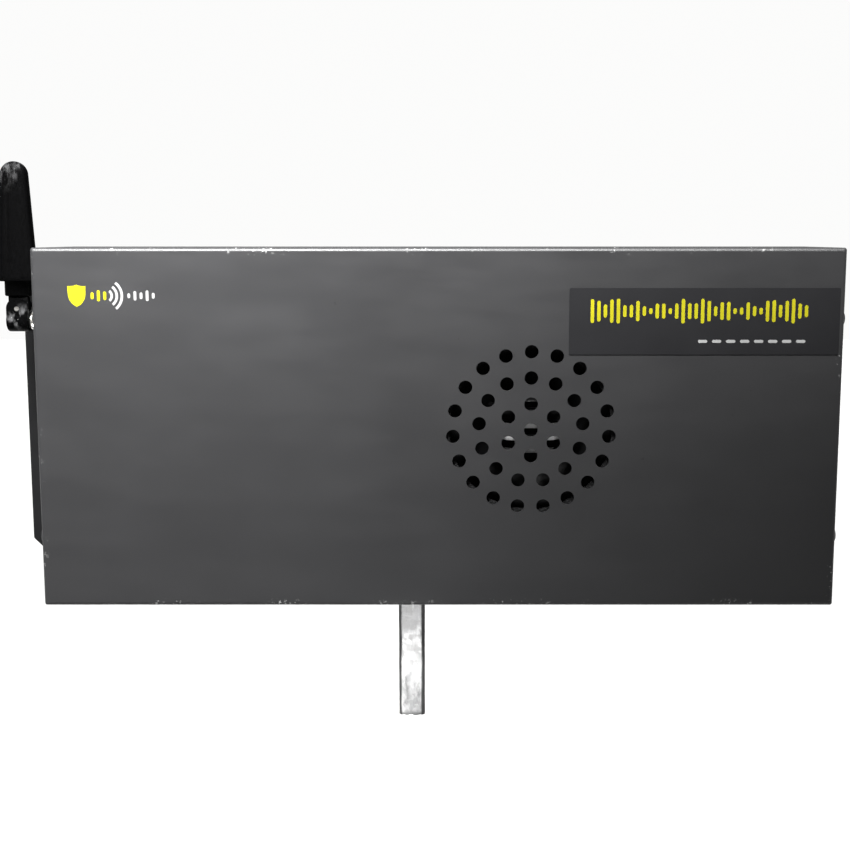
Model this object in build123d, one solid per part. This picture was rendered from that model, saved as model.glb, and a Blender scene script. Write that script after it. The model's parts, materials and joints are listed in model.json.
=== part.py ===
from build123d import *
import math
import os

# Alarm siren for a rolling shutter: a wall box with a grille, a jointed antenna and a
# trigger bar that the rising shutter pushes up.
# Millimetres.  +X is right and +Z is up as seen from the front, and the front faces -Y.
# The origin is the centre of the wall-screw pattern, on the wall plane y = 0.

# ---- driving dimensions ----------------------------------------------------------
BOX_W = 400.0               # outside width of the box
BOX_H = 180.0               # outside height of the box
FRONT = -78.0               # outer face of the front cover
SHEET = 1.2                 # steel sheet of the cover and the tray
COVER_GAP = 0.4             # air between the cover and the tray
LIP = 15.0                  # depth of the cover's side lips
BEND_R = 2.0                # outer bend radius of the cover

PLATE_T = 2.0               # wall plate
PLATE_LEFT, PLATE_RIGHT = -227.0, 221.0
PLATE_HALF_H = 84.0
PLATE_CHAMFER = 12.0
WALL_HOLE_X, WALL_HOLE_Z, WALL_HOLE_R = 213.0, 50.0, 3.25
GROMMET_X, GROMMET_Z = -120.0, -62.0
GROMMET_BORE_R = 5.0

GRILLE_X = 46.0             # axis of the siren and its grille, at z = 0
GRILLE_HOLE_R = 3.4
GRILLE_RINGS = ((1, 0.0), (6, 13.0), (13, 26.0), (19, 39.0))
HORN_MOUTH, HORN_THROAT = -72.0, -34.0
HOUSING_R, HOUSING_BACK = 30.0, -12.0
DOME_R = 20.0
LABEL_X0, LABEL_X1, LABEL_Z0, LABEL_Z1 = 64.3, 197.4, 37.7, 70.4
LABEL_T = 0.4

COVER_SCREW_Y, COVER_SCREW_Z = -70.0, 55.0
M4_R, M4_HEAD_R, M4_HEAD_H = 2.0, 3.8, 2.4
M3_R, M3_HEAD_R, M3_HEAD_H = 1.5, 2.8, 1.8
CORNER_SCREW_X = 190.0

BATTERY_X0, BATTERY_X1 = 4.0, 182.0
BATTERY_Z0, BATTERY_Z1 = -85.6, -51.6
BATTERY_FRONT, BATTERY_REAR = -66.0, -6.0

BAR_X, BAR_Y = -14.2, -40.0         # centre line of the trigger bar
BAR_SIDE, BAR_WALL, BAR_CORNER = 14.0, 1.2, 2.0
BAR_BOTTOM, BAR_TOP = -159.5, 2.0
BAR_LIFT = 18.0                     # full travel of the bar
BUSH_GAP = 0.35                     # air between the bar and its bushes
BUSH_ARM_Z = (-62.0, -12.3)         # undersides of the two bracket arms that hold bushes
SPRING_TOP = 64.0                   # underside of the top arm, where the spring ends
ARM_T = 1.5
CAM_TOP = 26.0
SPRING_R, SPRING_WIRE_R, SPRING_TURNS = 5.4, 0.6, 8

LEVER_X, LEVER_Z = -33.0, -4.0      # lever pivot
LEVER_RISE = 25.0                   # height of the lever's nose above its pivot
LEVER_ANGLE = 0.14                  # turn of the lever over the full lift, radians
NOSE_R = 3.0
NOSE_REACH = 6.85                   # sideways reach of the lever's nose from its pivot
RUN_GAP = 0.35                      # air between the nose and the cam, and at the plunger
PLUNGER_Z = 4.0

ANT_Y, ANT_Z = -40.0, 52.0          # axis of the antenna connector
JACK_R, JACK_TIP = 3.1, -207.0      # threaded barrel of the connector
COUPLING_END, COUPLING_HEX, COUPLING_FACE = -211.5, -206.0, -202.0      # coupling nut, outside to inside
KNUCKLE_R = 5.5
PIVOT_X, PIVOT_Z = COUPLING_END - 6.0, ANT_Z + 6.5                      # pin of the antenna hinge
BLADE_FOOT, BLADE_SHOULDER, BLADE_LENGTH = 6.4, 14.0, 75.0              # along the blade, from its pin
BLADE_T = 9.0
TONGUE_HALF = 2.6                   # the blade's hinge tongue, and the slot it folds into
TONGUE_SLOT = 3.0

# ---- derived faces ---------------------------------------------------------------
HALF_W = BOX_W / 2
HALF_H = BOX_H / 2
COVER_IN = FRONT + SHEET                        # inner face of the front
TRAY_BACK = -PLATE_T                            # rear face of the tray
FLOOR = TRAY_BACK - SHEET                       # inner face of the tray's back
TRAY_HALF_W = HALF_W - SHEET - COVER_GAP        # outer faces of the tray's sides
TRAY_HALF_H = HALF_H - SHEET - COVER_GAP
CAM_FACE_X = BAR_X - BAR_SIDE / 2 - 0.5         # cam's sloping face at its top


# ---- helpers ---------------------------------------------------------------------
def block(x0, x1, y0, y1, z0, z1):
    """A box between two corners."""
    centre = Pos((x0 + x1) / 2, (y0 + y1) / 2, (z0 + z1) / 2)
    return centre * Box(abs(x1 - x0), abs(y1 - y0), abs(z1 - z0))


def rod_x(x0, x1, y, z, r):
    """A round bar along X."""
    return Pos((x0 + x1) / 2, y, z) * Rot(0, 90, 0) * Cylinder(r, abs(x1 - x0))


def rod_y(x, y0, y1, z, r):
    """A round bar along Y."""
    return Pos(x, (y0 + y1) / 2, z) * Rot(90, 0, 0) * Cylinder(r, abs(y1 - y0))


def rod_z(x, y, z0, z1, r):
    """A round bar along Z."""
    return Pos(x, y, (z0 + z1) / 2) * Cylinder(r, abs(z1 - z0))


def hex_x(x0, x1, y, z, across_flats):
    """A hexagonal bar along X."""
    outline = Plane.YZ * RegularPolygon(across_flats / 2, 6, major_radius=False)
    return Pos(x0, y, z) * extrude(outline, x1 - x0)


def spin_y(x, z, *curves):
    """A ring turned about the Y axis through (x, z) from curves drawn in radius and y."""
    face = make_face(list(curves))
    return Pos(x, 0, z) * revolve(face, Axis.Y)


def outline_spin(x, z, *points):
    """A turned body from straight runs between (radius, y) points."""
    return spin_y(x, z, Polyline(*points, close=True))


def rounded(solid, axis, radius):
    """Rounds the edges that run along one axis."""
    return fillet(solid.edges().filter_by(axis), radius)


def screw(shank_r, head_r, head_h, length):
    """Pan-head screw with its head on +Z, a cross recess, and its shank down from z = 0."""
    head = Pos(0, 0, head_h / 2) * Cylinder(head_r, head_h)
    head = fillet(head.edges().sort_by(Axis.Z)[-1], head_h * 0.45)
    slot_l, slot_w, slot_d = head_r * 1.2, head_r * 0.28, head_h * 0.55
    for turn in (0, 90):
        head -= Pos(0, 0, head_h) * Rot(0, 0, turn) * Box(slot_l, slot_w, 2 * slot_d)
    return head + Pos(0, 0, -length / 2) * Cylinder(shank_r, length)


def front_screws(places, y, size=(M4_R, M4_HEAD_R, M4_HEAD_H), length=2 * SHEET):
    """Screws driven from the front, their heads standing on the plane y."""
    one = Rot(90, 0, 0) * screw(*size, length)
    return [Pos(x, y, z) * one for x, z in places]


def corner_radii(points):
    """The largest even arc that each corner of a lead's route has room for."""
    radii = []
    for a, b, c in zip(points, points[1:], points[2:]):
        into = Vector(*b) - Vector(*a)
        out = Vector(*c) - Vector(*b)
        turn = math.radians(into.get_angle(out))
        radii.append(0.45 * min(into.length, out.length) / math.tan(turn / 2))
    return radii


def lead(points, radius):
    """A flexible lead along straight runs joined by tangent arcs."""
    path = FilletPolyline(*points, radius=corner_radii(points))
    section = Plane(origin=path @ 0, z_dir=path % 0) * Circle(radius)
    return sweep(section, path)


def save(name, *solids):
    """Writes one node; several solids are kept apart inside it."""
    shape = solids[0] if len(solids) == 1 else Compound(children=list(solids))
    export_step(shape, f"parts/{name}.step")


# ---- places of repeated fasteners --------------------------------------------------
def mirror_places(x, z):
    return [(sx * x, sz * z) for sx in (-1, 1) for sz in (-1, 1)]


PLATE_PLACES = mirror_places(CORNER_SCREW_X, PLATE_HALF_H - 14)
SIREN_FEET = [(GRILLE_X - 38.0, 0.0), (GRILLE_X + 38.0, 0.0)]
GUIDE_FEET = [(BAR_X, -35.0), (BAR_X, 25.0)]
STRAP_FOOT = [(100.0, -44.0)]
TAMPER_FOOT = [(-61.0, 71.0)]
SWITCH_PLACES = [(-48.0, -5.0), (-48.0, 17.0)]
SWITCH_Y0, SWITCH_Y1 = -45.2, -34.9         # faces of the limit switch
SUPPLY_FEET = [(102.0, -4.0), (190.0, -4.0)]
BOARD_X0, BOARD_X1, BOARD_Z0, BOARD_Z1 = -185.0, -65.0, -45.0, 50.0
BOARD_BACK, BOARD_FACE = -11.2, -12.8
BOARD_PLACES = [(x, z) for x in (BOARD_X0 + 5, BOARD_X1 - 5) for z in (BOARD_Z0 + 5, BOARD_Z1 - 5)]


# ---- wall plate and tray -----------------------------------------------------------
def mounting_plate():
    plate = block(PLATE_LEFT, PLATE_RIGHT, TRAY_BACK, 0, -PLATE_HALF_H, PLATE_HALF_H)
    plate = chamfer(plate.edges().filter_by(Axis.Y), PLATE_CHAMFER)
    plate = fillet(plate.edges().filter_by(Axis.Y), 2.0)
    for x, z in mirror_places(WALL_HOLE_X, WALL_HOLE_Z):
        plate -= rod_y(x, -5, 1, z, WALL_HOLE_R)
    for x, z in PLATE_PLACES:
        plate -= rod_y(x, -5, 1, z, M4_R)
    return plate - rod_y(GROMMET_X, -5, 1, GROMMET_Z, 8.0)


def cover_screw_notch(z):
    """Slot in the tray's side, open to the front, that lets the cover slide off."""
    half = M4_R + 0.6
    notch = block(-HALF_W, HALF_W, FRONT, COVER_SCREW_Y, z - half, z + half)
    return notch + rod_x(-HALF_W, HALF_W, COVER_SCREW_Y, z, half)


def base_tray():
    tray = block(-TRAY_HALF_W, TRAY_HALF_W, FRONT + 2, TRAY_BACK, -TRAY_HALF_H, TRAY_HALF_H)
    tray = fillet(tray.faces().sort_by(Axis.Y)[-1].edges(), 1.6)
    in_w = TRAY_HALF_W - SHEET
    in_h = TRAY_HALF_H - SHEET
    room = block(-in_w, in_w, FRONT, FLOOR, -in_h, in_h)
    tray -= fillet(room.faces().sort_by(Axis.Y)[-1].edges(), 0.4)
    flange = -16.0
    for side in (-1, 1):
        tray -= block(-in_w, in_w, FRONT, flange, side * (in_h - 1), side * HALF_H)
        tray -= cover_screw_notch(side * COVER_SCREW_Z)
    for x, z in PLATE_PLACES + SIREN_FEET + GUIDE_FEET + STRAP_FOOT + TAMPER_FOOT + SUPPLY_FEET:
        tray -= rod_y(x, -5, 0, z, M4_R)
    tray -= rod_y(GROMMET_X, -5, 0, GROMMET_Z, 8.0)
    return tray - rod_x(-HALF_W, -in_w + 1, ANT_Y, ANT_Z, 3.2)


def plate_screws():
    return front_screws(PLATE_PLACES, FLOOR, length=2.9)


def tray_screws():
    """Screws of the brackets that stand on the tray's back."""
    thick = front_screws(SIREN_FEET + GUIDE_FEET + TAMPER_FOOT, FLOOR - ARM_T, length=ARM_T + SHEET)
    return thick + front_screws(STRAP_FOOT + SUPPLY_FEET, FLOOR - SHEET, length=2 * SHEET)


def cable_grommet():
    ring = [(GROMMET_BORE_R, -6.0), (11.0, -6.0), (11.0, FLOOR), (8.0, FLOOR)]
    ring += [(8.0, -0.2), (GROMMET_BORE_R, -0.2)]
    body = outline_spin(GROMMET_X, GROMMET_Z, *ring)
    return fillet(body.edges().filter_by(GeomType.CIRCLE).sort_by(Axis.Y)[0:2], 0.8)


# ---- front cover -------------------------------------------------------------------
def grille_places():
    """Hole centres: one in the middle and rings that each start at twelve o'clock."""
    places = []
    for count, radius in GRILLE_RINGS:
        for i in range(count):
            turn = 2 * math.pi * i / count
            places.append((GRILLE_X + radius * math.sin(turn), radius * math.cos(turn)))
    return places


def front_cover():
    rear = TRAY_BACK - 0.6
    cover = block(-HALF_W, HALF_W, FRONT, rear, -HALF_H, HALF_H)
    cover = fillet(cover.edges().filter_by(Axis.Y), 1.2)
    cover = fillet(cover.faces().sort_by(Axis.Y)[0].edges(), BEND_R)
    in_w = HALF_W - SHEET
    in_h = HALF_H - SHEET
    room = block(-in_w, in_w, COVER_IN, 1, -in_h, in_h)
    cover -= fillet(room.faces().sort_by(Axis.Y)[0].edges(), BEND_R - SHEET)
    for side in (-1, 1):
        cover -= block(side * (in_w - 1), side * (HALF_W + 1), FRONT + LIP, 1, -in_h, in_h)
        cover -= rod_x(-HALF_W - 1, HALF_W + 1, COVER_SCREW_Y, side * COVER_SCREW_Z, M4_R)
    for x, z in grille_places():
        cover -= rod_y(x, FRONT - 1, COVER_IN + 1, z, GRILLE_HOLE_R)
    slot_half = BAR_SIDE / 2 + 2.5
    slot = block(BAR_X - slot_half, BAR_X + slot_half, BAR_Y - slot_half, 0, -HALF_H - 1, -in_h + 1)
    slot = fillet(slot.edges().filter_by(Axis.Z).sort_by(Axis.Y)[0:2], 3.0)
    return cover - slot


def label_panel():
    panel = block(LABEL_X0, LABEL_X1, FRONT - LABEL_T, FRONT, LABEL_Z0, LABEL_Z1)
    return fillet(panel.edges().filter_by(Axis.Y), 0.8)


def cover_screws():
    """Two screws in each side lip, their heads outside."""
    solids = []
    one = screw(M4_R, 3.4, 1.6, 7.5)
    for side in (-1, 1):
        for z in (-COVER_SCREW_Z, COVER_SCREW_Z):
            place = Pos(side * HALF_W, COVER_SCREW_Y, z)
            solids.append(place * Rot(0, side * 90, 0) * one)
    return solids


def cover_nuts():
    """Square nuts behind the tray's sides; they leave with the cover."""
    solids = []
    inner = TRAY_HALF_W - SHEET - COVER_GAP
    for side in (-1, 1):
        for z in (-COVER_SCREW_Z, COVER_SCREW_Z):
            edge = side * inner
            nut = Pos(edge - side * 1.5, COVER_SCREW_Y, z) * Box(3.0, 7.0, 7.0)
            nut -= rod_x(edge - side * 4, edge + side, COVER_SCREW_Y, z, M4_R)
            solids.append(rounded(nut, Axis.X, 0.8))
    return solids


# ---- siren -------------------------------------------------------------------------
def siren_horn():
    """Flared horn with a rolled mouth rim and a bolting flange at its throat."""
    inside = ThreePointArc((9.0, HORN_THROAT), (17.5, -57.0), (40.0, HORN_MOUTH))
    outside = ThreePointArc((42.5, HORN_MOUTH + 2.2), (19.8, -55.2), (11.6, HORN_THROAT - 2.4))
    rim_back = HORN_MOUTH + 2.2
    rim = Polyline((40.0, HORN_MOUTH), (44.0, HORN_MOUTH), (44.0, rim_back), (42.5, rim_back))
    flange = Polyline((11.6, HORN_THROAT - 2.4), (HOUSING_R, HORN_THROAT - 2.4), (HOUSING_R, HORN_THROAT),
                      (9.0, HORN_THROAT))
    horn = spin_y(GRILLE_X, 0, inside, rim, outside, flange)
    for x, z in horn_screw_places():
        horn -= rod_y(x, HORN_THROAT - 3, HORN_THROAT + 1, z, M3_R)
    return horn


def horn_screw_places():
    places = []
    for i in range(4):
        turn = math.radians(45 + 90 * i)
        places.append((GRILLE_X + 25.0 * math.cos(turn), 25.0 * math.sin(turn)))
    return places


def horn_screws():
    size = (M3_R, M3_HEAD_R, M3_HEAD_H)
    return front_screws(horn_screw_places(), HORN_THROAT - 2.4, size, length=8.0)


def horn_gasket():
    """Foam ring that closes the gap between the horn and the grille."""
    y0, y1 = COVER_IN + 1.6, HORN_MOUTH
    ring = [(40.6, y0), (44.0, y0), (44.0, y1), (40.6, y1)]
    return outline_spin(GRILLE_X, 0, *ring)


def horn_plug():
    """Bright domed phase plug with level cooling fins, on three ribs in the mouth of the horn."""
    crown = ThreePointArc((0, -73.0), (12.0, -70.4), (18.5, -62.0))
    back = Polyline((18.5, -62.0), (15.5, -60.0), (4.0, -48.0), (0, -46.0), (0, -73.0))
    plug = spin_y(GRILLE_X, 0, crown, back)
    fin_pitch, fin_t = 6.5, 3.2
    for i in range(-3, 3):
        low = fin_pitch * i + fin_t + 0.3
        plug -= block(GRILLE_X - 20, GRILLE_X + 20, -74, -66, low, low + fin_pitch - fin_t)
    for i in range(3):
        rib = block(10.0, 27.5, -63.5, -60.5, -1.0, 1.0)
        plug += Pos(GRILLE_X, 0, 0) * Rot(0, 90 + 120 * i, 0) * rib
    return (plug - siren_horn()).solids().sort_by(SortBy.VOLUME)[-1]


def driver_housing():
    """Cup that closes the back of the horn; the horn's screws go into its wall."""
    wall = 7.5
    inner, floor = HOUSING_R - wall, HOUSING_BACK - 2.5
    cup = [(0, HOUSING_BACK), (HOUSING_R, HOUSING_BACK), (HOUSING_R, HORN_THROAT)]
    cup += [(inner, HORN_THROAT), (inner, floor), (0, floor)]
    body = outline_spin(GRILLE_X, 0, *cup)
    body = fillet(body.edges().filter_by(GeomType.CIRCLE).sort_by(Axis.Y)[-1], 2.0)
    for x, z in horn_screw_places():
        body -= rod_y(x, HORN_THROAT - 1, HORN_THROAT + 5.8, z, M3_R)
    for side in (-1, 1):
        seat = GRILLE_X + side * HOUSING_R
        body -= rod_x(seat - side * 5, seat + side, -22.0, 0, M3_R)
        body -= block(seat, seat - side * 0.8, -35, 0, -12.4, 12.4)
    return body


def driver_magnet():
    ring = [(0, -14.5), (21.0, -14.5), (21.0, -26.0), (12.8, -26.0), (12.8, -20.0)]
    ring += [(9.0, -20.0), (9.0, -26.0), (0, -26.0)]
    return outline_spin(GRILLE_X, 0, *ring)


def diaphragm():
    """Thin dome with its voice coil, hung in the magnet's ring gap."""
    front = ThreePointArc((0, -32.6), (10.0, -31.4), (DOME_R, -29.4))
    back = Polyline((DOME_R, -29.4), (DOME_R, -28.8), (11.5, -29.6), (11.5, -23.0), (10.3, -23.0),
                    (10.3, -29.8), (0, -31.8), (0, -32.6))
    return spin_y(GRILLE_X, 0, front, back)


def diaphragm_surround():
    """Rubber ring that carries the dome's edge in the housing."""
    y0, y1 = -28.0, -29.4
    ring = [(DOME_R + 0.35, y0), (HOUSING_R - 7.5, y0), (HOUSING_R - 7.5, y1), (DOME_R + 0.35, y1)]
    return outline_spin(GRILLE_X, 0, *ring)


def siren_bracket():
    """Strap with two arms that grip flats on the sides of the housing."""
    half_z = 12.0
    reach = HOUSING_R - 0.8
    strap = block(GRILLE_X - 44, GRILLE_X + 44, FLOOR - ARM_T, FLOOR, -half_z, half_z)
    for side in (-1, 1):
        arm_x = GRILLE_X + side * reach
        strap += block(arm_x, arm_x + side * ARM_T, -28.0, FLOOR, -half_z, half_z)
        strap -= rod_x(arm_x - side, arm_x + side * 3, -22.0, 0, M3_R)
    for x, z in SIREN_FEET:
        strap -= rod_y(x, -6, 0, z, M4_R)
    return strap


def arm_screws():
    """One screw through each arm of the siren's bracket."""
    one = screw(M3_R, M3_HEAD_R, M3_HEAD_H, 5.6)
    reach = HOUSING_R - 0.8 + ARM_T
    return [Pos(GRILLE_X + s * reach, -22.0, 0) * Rot(0, s * 90, 0) * one for s in (-1, 1)]


# ---- electronics -------------------------------------------------------------------
def circuit_board():
    board = block(BOARD_X0, BOARD_X1, BOARD_FACE, BOARD_BACK, BOARD_Z0, BOARD_Z1)
    board = rounded(board, Axis.Y, 3.0)
    for x, z in BOARD_PLACES:
        board -= rod_y(x, -20, 0, z, M3_R)
    return board


def board_standoffs():
    solids = []
    for x, z in BOARD_PLACES:
        post = Pos(x, FLOOR, z) * extrude(Plane.XZ * RegularPolygon(3.0, 6), FLOOR - BOARD_BACK)
        solids.append(post - rod_y(x, -12, -6, z, M3_R))
    return solids


def board_screws():
    return front_screws(BOARD_PLACES, BOARD_FACE, (M3_R, M3_HEAD_R, M3_HEAD_H), length=6.5)


def gsm_module():
    """Radio module: a small board with a pressed can and the aerial socket."""
    carrier = block(-178, -148, BOARD_FACE - 1.0, BOARD_FACE, 8, 38)
    can = rounded(block(-176, -151, BOARD_FACE - 3.8, BOARD_FACE - 1.0, 10, 33), Axis.Y, 1.0)
    socket = rod_y(-153, BOARD_FACE - 2.4, BOARD_FACE - 1.0, 35.5, 1.6)
    return carrier + can + socket


def sim_socket():
    """Card socket with the card in it."""
    shell = rounded(block(-140, -112, BOARD_FACE - 2.6, BOARD_FACE, 14, 40), Axis.Y, 0.8)
    window = block(-135, -117, BOARD_FACE - 3, BOARD_FACE - 2.0, 22, 34)
    card = block(-138, -114, BOARD_FACE - 1.6, BOARD_FACE - 0.8, 40, 43)
    return shell - window + card


def terminal_block():
    """Eight-way screw terminal along the lower edge of the board."""
    pitch, ways = 5.0, 8
    x0, z0, z1 = -150.0, -42.0, -32.0
    body = block(x0, x0 + pitch * ways, BOARD_FACE - 10.0, BOARD_FACE, z0, z1)
    body = chamfer(body.edges().filter_by(Axis.X).sort_by(Axis.Y)[0], 2.0)
    for i in range(ways):
        x = x0 + pitch * (i + 0.5)
        body -= rod_y(x, BOARD_FACE - 11, BOARD_FACE - 7, z1 - 4.5, 1.7)
        body -= block(x - 1.6, x + 1.6, BOARD_FACE - 6, BOARD_FACE - 2, z0 - 1, z0 + 4)
    return body


def relays():
    """Two sealed relays."""
    solids = []
    for x in (-98.0, -78.0):
        case = block(x - 8, x + 8, BOARD_FACE - 15.5, BOARD_FACE, -30, -11)
        case = rounded(case, Axis.Y, 1.0)
        solids.append(fillet(case.faces().sort_by(Axis.Y)[0].edges(), 0.6))
    return solids


def capacitors():
    """Three aluminium cans of two sizes."""
    solids = []
    for x, z, r, h in ((-172.0, -20.0, 6.4, 21.0), (-156.0, -20.0, 5.0, 16.0), (-90.0, 12.0, 5.0, 16.0)):
        can = rod_y(x, BOARD_FACE, BOARD_FACE - h, z, r)
        solids.append(fillet(can.edges().filter_by(GeomType.CIRCLE), 0.7))
    return solids


def battery():
    """Sealed 12 V battery that lies along the bottom of the box."""
    case = block(BATTERY_X0, BATTERY_X1, BATTERY_FRONT, BATTERY_REAR, BATTERY_Z0, BATTERY_Z1)
    case = rounded(case, Axis.Y, 2.0)
    case = fillet(case.faces().sort_by(Axis.Y)[0].edges(), 1.0)
    lid, deep = BATTERY_FRONT + 9.0, 0.5
    seam = block(0, HALF_W, lid, lid + 0.8, BATTERY_Z0 - 5, BATTERY_Z1 + 5)
    core = block(BATTERY_X0 + deep, BATTERY_X1 - deep, BATTERY_FRONT, BATTERY_REAR,
                 BATTERY_Z0 + deep, BATTERY_Z1 - deep)
    return case - (seam - core)


def battery_terminals():
    """Two push-on tabs."""
    solids = []
    for z in (BATTERY_Z0 + 9, BATTERY_Z1 - 9):
        tab = block(BATTERY_X0 + 8, BATTERY_X0 + 8.8, BATTERY_FRONT - 6.5, BATTERY_FRONT, z - 2.4, z + 2.4)
        solids.append(tab - rod_x(BATTERY_X0 + 5, BATTERY_X0 + 12, BATTERY_FRONT - 4.0, z, 0.8))
    return solids


def battery_bracket():
    """Strap over the battery, screwed to the tray above it."""
    x0, x1 = 90.0, 110.0
    outer = block(x0, x1, BATTERY_FRONT - SHEET, FLOOR, BATTERY_Z0 - SHEET, BATTERY_Z1 + SHEET)
    outer = fillet(outer.edges().filter_by(Axis.X).sort_by(Axis.Y)[0:2], 1.6)
    strap = outer - block(x0 - 1, x1 + 1, BATTERY_FRONT, 0, BATTERY_Z0, BATTERY_Z1)
    foot = block(x0, x1, FLOOR - SHEET, FLOOR, BATTERY_Z1, BATTERY_Z1 + 14)
    foot -= rod_y(STRAP_FOOT[0][0], -6, 0, STRAP_FOOT[0][1], M4_R)
    return strap + foot


def power_supply():
    """Mains power supply in a slotted case with two bolting feet."""
    x0, x1, z0, z1, front = 108.0, 184.0, -30.0, 22.0, -31.2
    case = block(x0, x1, front, FLOOR, z0, z1)
    case = rounded(case, Axis.Y, 1.5)
    for i in range(9):
        x = x0 + 20 + 6 * i
        case -= rounded(block(x - 1, x + 1, front - 1, front + 1.2, z0 + 10, z1 - 10), Axis.Y, 0.9)
    case -= block(x0 - 1, x0 + 9, front - 1, front + 12, z0 + 4, z1 - 4)
    feet = block(x0 - 10, x1 + 10, FLOOR - SHEET, FLOOR, -10, 2)
    for x, z in SUPPLY_FEET:
        feet -= rod_y(x, -6, 0, z, M4_R)
    return case + feet


def supply_terminals():
    """Screw terminals in the end recess of the power supply."""
    strip = block(109.0, 116.5, -28.0, -19.2, -24.0, 16.0)
    for i in range(5):
        strip -= rod_y(112.7, -29, -25, -20 + 8 * i, 2.4)
    return strip


def tamper_bracket():
    """Stand that carries the tamper switch close behind the cover."""
    foot = block(-72, -54, FLOOR - ARM_T, FLOOR, 62, 80)
    post = block(-72, -72 + ARM_T, -57.5, FLOOR, 64, 78)
    head = block(-72, -54, -57.5, -56.0, 64, 78)
    stand = foot + post + head
    stand -= rod_y(TAMPER_FOOT[0][0], -6, 0, TAMPER_FOOT[0][1], M4_R)
    return stand - rod_y(-61, -60, -50, 71, 3.9)


def tamper_switch():
    """Threaded barrel switch with its fixing nut."""
    x, z = TAMPER_FOOT[0]
    barrel = rod_y(x, -66.0, -48.0, z, 3.9)
    nut = Pos(x, -57.5, z) * extrude(Plane.XZ * RegularPolygon(6.2, 6), 2.4)
    tails = rod_y(x - 1.5, -48.0, -43.0, z, 0.5) + rod_y(x + 1.5, -48.0, -43.0, z, 0.5)
    return barrel + nut + tails - rod_y(x, -67, -58.0, z, 1.65)


def tamper_plunger():
    x, z = TAMPER_FOOT[0]
    rod = rod_y(x, COVER_IN + RUN_GAP, -60.5, z, 1.6)
    return fillet(rod.edges().filter_by(GeomType.CIRCLE).sort_by(Axis.Y)[0], 0.9)


# ---- trigger bar and its switch ----------------------------------------------------
def square_tube(side, corner, z0, z1):
    """A square prism with rounded corners on the bar's centre line."""
    outline = Pos(BAR_X, BAR_Y) * RectangleRounded(side, side, corner)
    return Pos(0, 0, z0) * extrude(outline, z1 - z0)


def trigger_bar():
    """Galvanised square tube that hangs out of the bottom of the box."""
    tube = square_tube(BAR_SIDE, BAR_CORNER, BAR_BOTTOM, BAR_TOP)
    tube -= square_tube(BAR_SIDE - 2 * BAR_WALL, BAR_CORNER - BAR_WALL, BAR_BOTTOM - 1, BAR_TOP + 1)
    return tube - rod_x(BAR_X - 10, BAR_X + 10, BAR_Y, -5.0, 1.5)


def cam_slope():
    """Sideways step of the cam for each millimetre, which gives the lever its constant ratio."""
    shift = NOSE_REACH * (1 - math.cos(LEVER_ANGLE)) + LEVER_RISE * math.sin(LEVER_ANGLE)
    climb = NOSE_REACH * math.sin(LEVER_ANGLE) - LEVER_RISE * (1 - math.cos(LEVER_ANGLE))
    return shift / (BAR_LIFT - climb)


def cam_block():
    """Nylon end of the bar: plug, cam for the switch and seat for the spring."""
    half = BAR_SIDE / 2
    plug = square_tube(BAR_SIDE - 2 * BAR_WALL, 0.8, -10.0, BAR_TOP)
    head = square_tube(BAR_SIDE, 1.0, BAR_TOP, CAM_TOP)
    seat = rod_z(BAR_X, BAR_Y, CAM_TOP, CAM_TOP + 4.0, 3.5)
    low_x = CAM_FACE_X - cam_slope() * (CAM_TOP - BAR_TOP)
    corners = [(BAR_X, BAR_TOP), (BAR_X, CAM_TOP), (CAM_FACE_X, CAM_TOP), (low_x, BAR_TOP)]
    outline = Polyline(*corners, close=True)
    wedge = Pos(0, BAR_Y + 4, 0) * extrude(Plane.XZ * make_face(outline), 8)
    block_end = plug + head + seat + wedge
    return block_end - rod_x(BAR_X - half, BAR_X + half, BAR_Y, -5.0, 1.5)


def stop_pin():
    """Cross pin that rests above the middle bush and keeps the bar from dropping out."""
    return rod_x(BAR_X - 11, BAR_X + 11, BAR_Y, -5.0, 1.5)


def guide_bushes():
    solids = []
    hole = BAR_SIDE + 2 * BUSH_GAP
    for arm, flange_top in zip(BUSH_ARM_Z, (-57.5, -6.8)):
        seat = arm + ARM_T
        bush = square_tube(17.6, 3.0, arm - 2.5, seat) + square_tube(21.0, 3.5, seat, flange_top)
        solids.append(bush - square_tube(hole, BAR_CORNER + BUSH_GAP, -90, 0))
    return solids


def guide_bracket():
    """Channel with three arms for the bar, and a wing that holds the switch."""
    x0, x1, front = BAR_X - 14, BAR_X + 14, -52.0
    frame = block(x0, x1, FLOOR - ARM_T, FLOOR, BUSH_ARM_Z[0], SPRING_TOP + ARM_T)
    for z in BUSH_ARM_Z:
        arm = block(x0, x1, front, FLOOR, z, z + ARM_T)
        frame += arm - square_tube(17.6, 3.0, z - 1, z + ARM_T + 1)
    frame += block(x0, x1, front, FLOOR, SPRING_TOP, SPRING_TOP + ARM_T)
    wing_x, wing_z0, wing_z1 = -53.5, -10.0, 22.0
    frame += block(wing_x, x0, FLOOR - ARM_T, FLOOR, wing_z0, wing_z1)
    frame += block(wing_x, wing_x + ARM_T, -34.9, FLOOR, wing_z0, wing_z1)
    frame += block(wing_x, -36.0, -34.9, -33.4, wing_z0, wing_z1)
    for x, z in GUIDE_FEET:
        frame -= rod_y(x, -6, 0, z, M4_R)
    for x, z in SWITCH_PLACES:
        frame -= rod_y(x, -36, -32, z, 1.4)
    return frame - rod_z(BAR_X, BAR_Y, 60, 70, 2.5)


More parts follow.
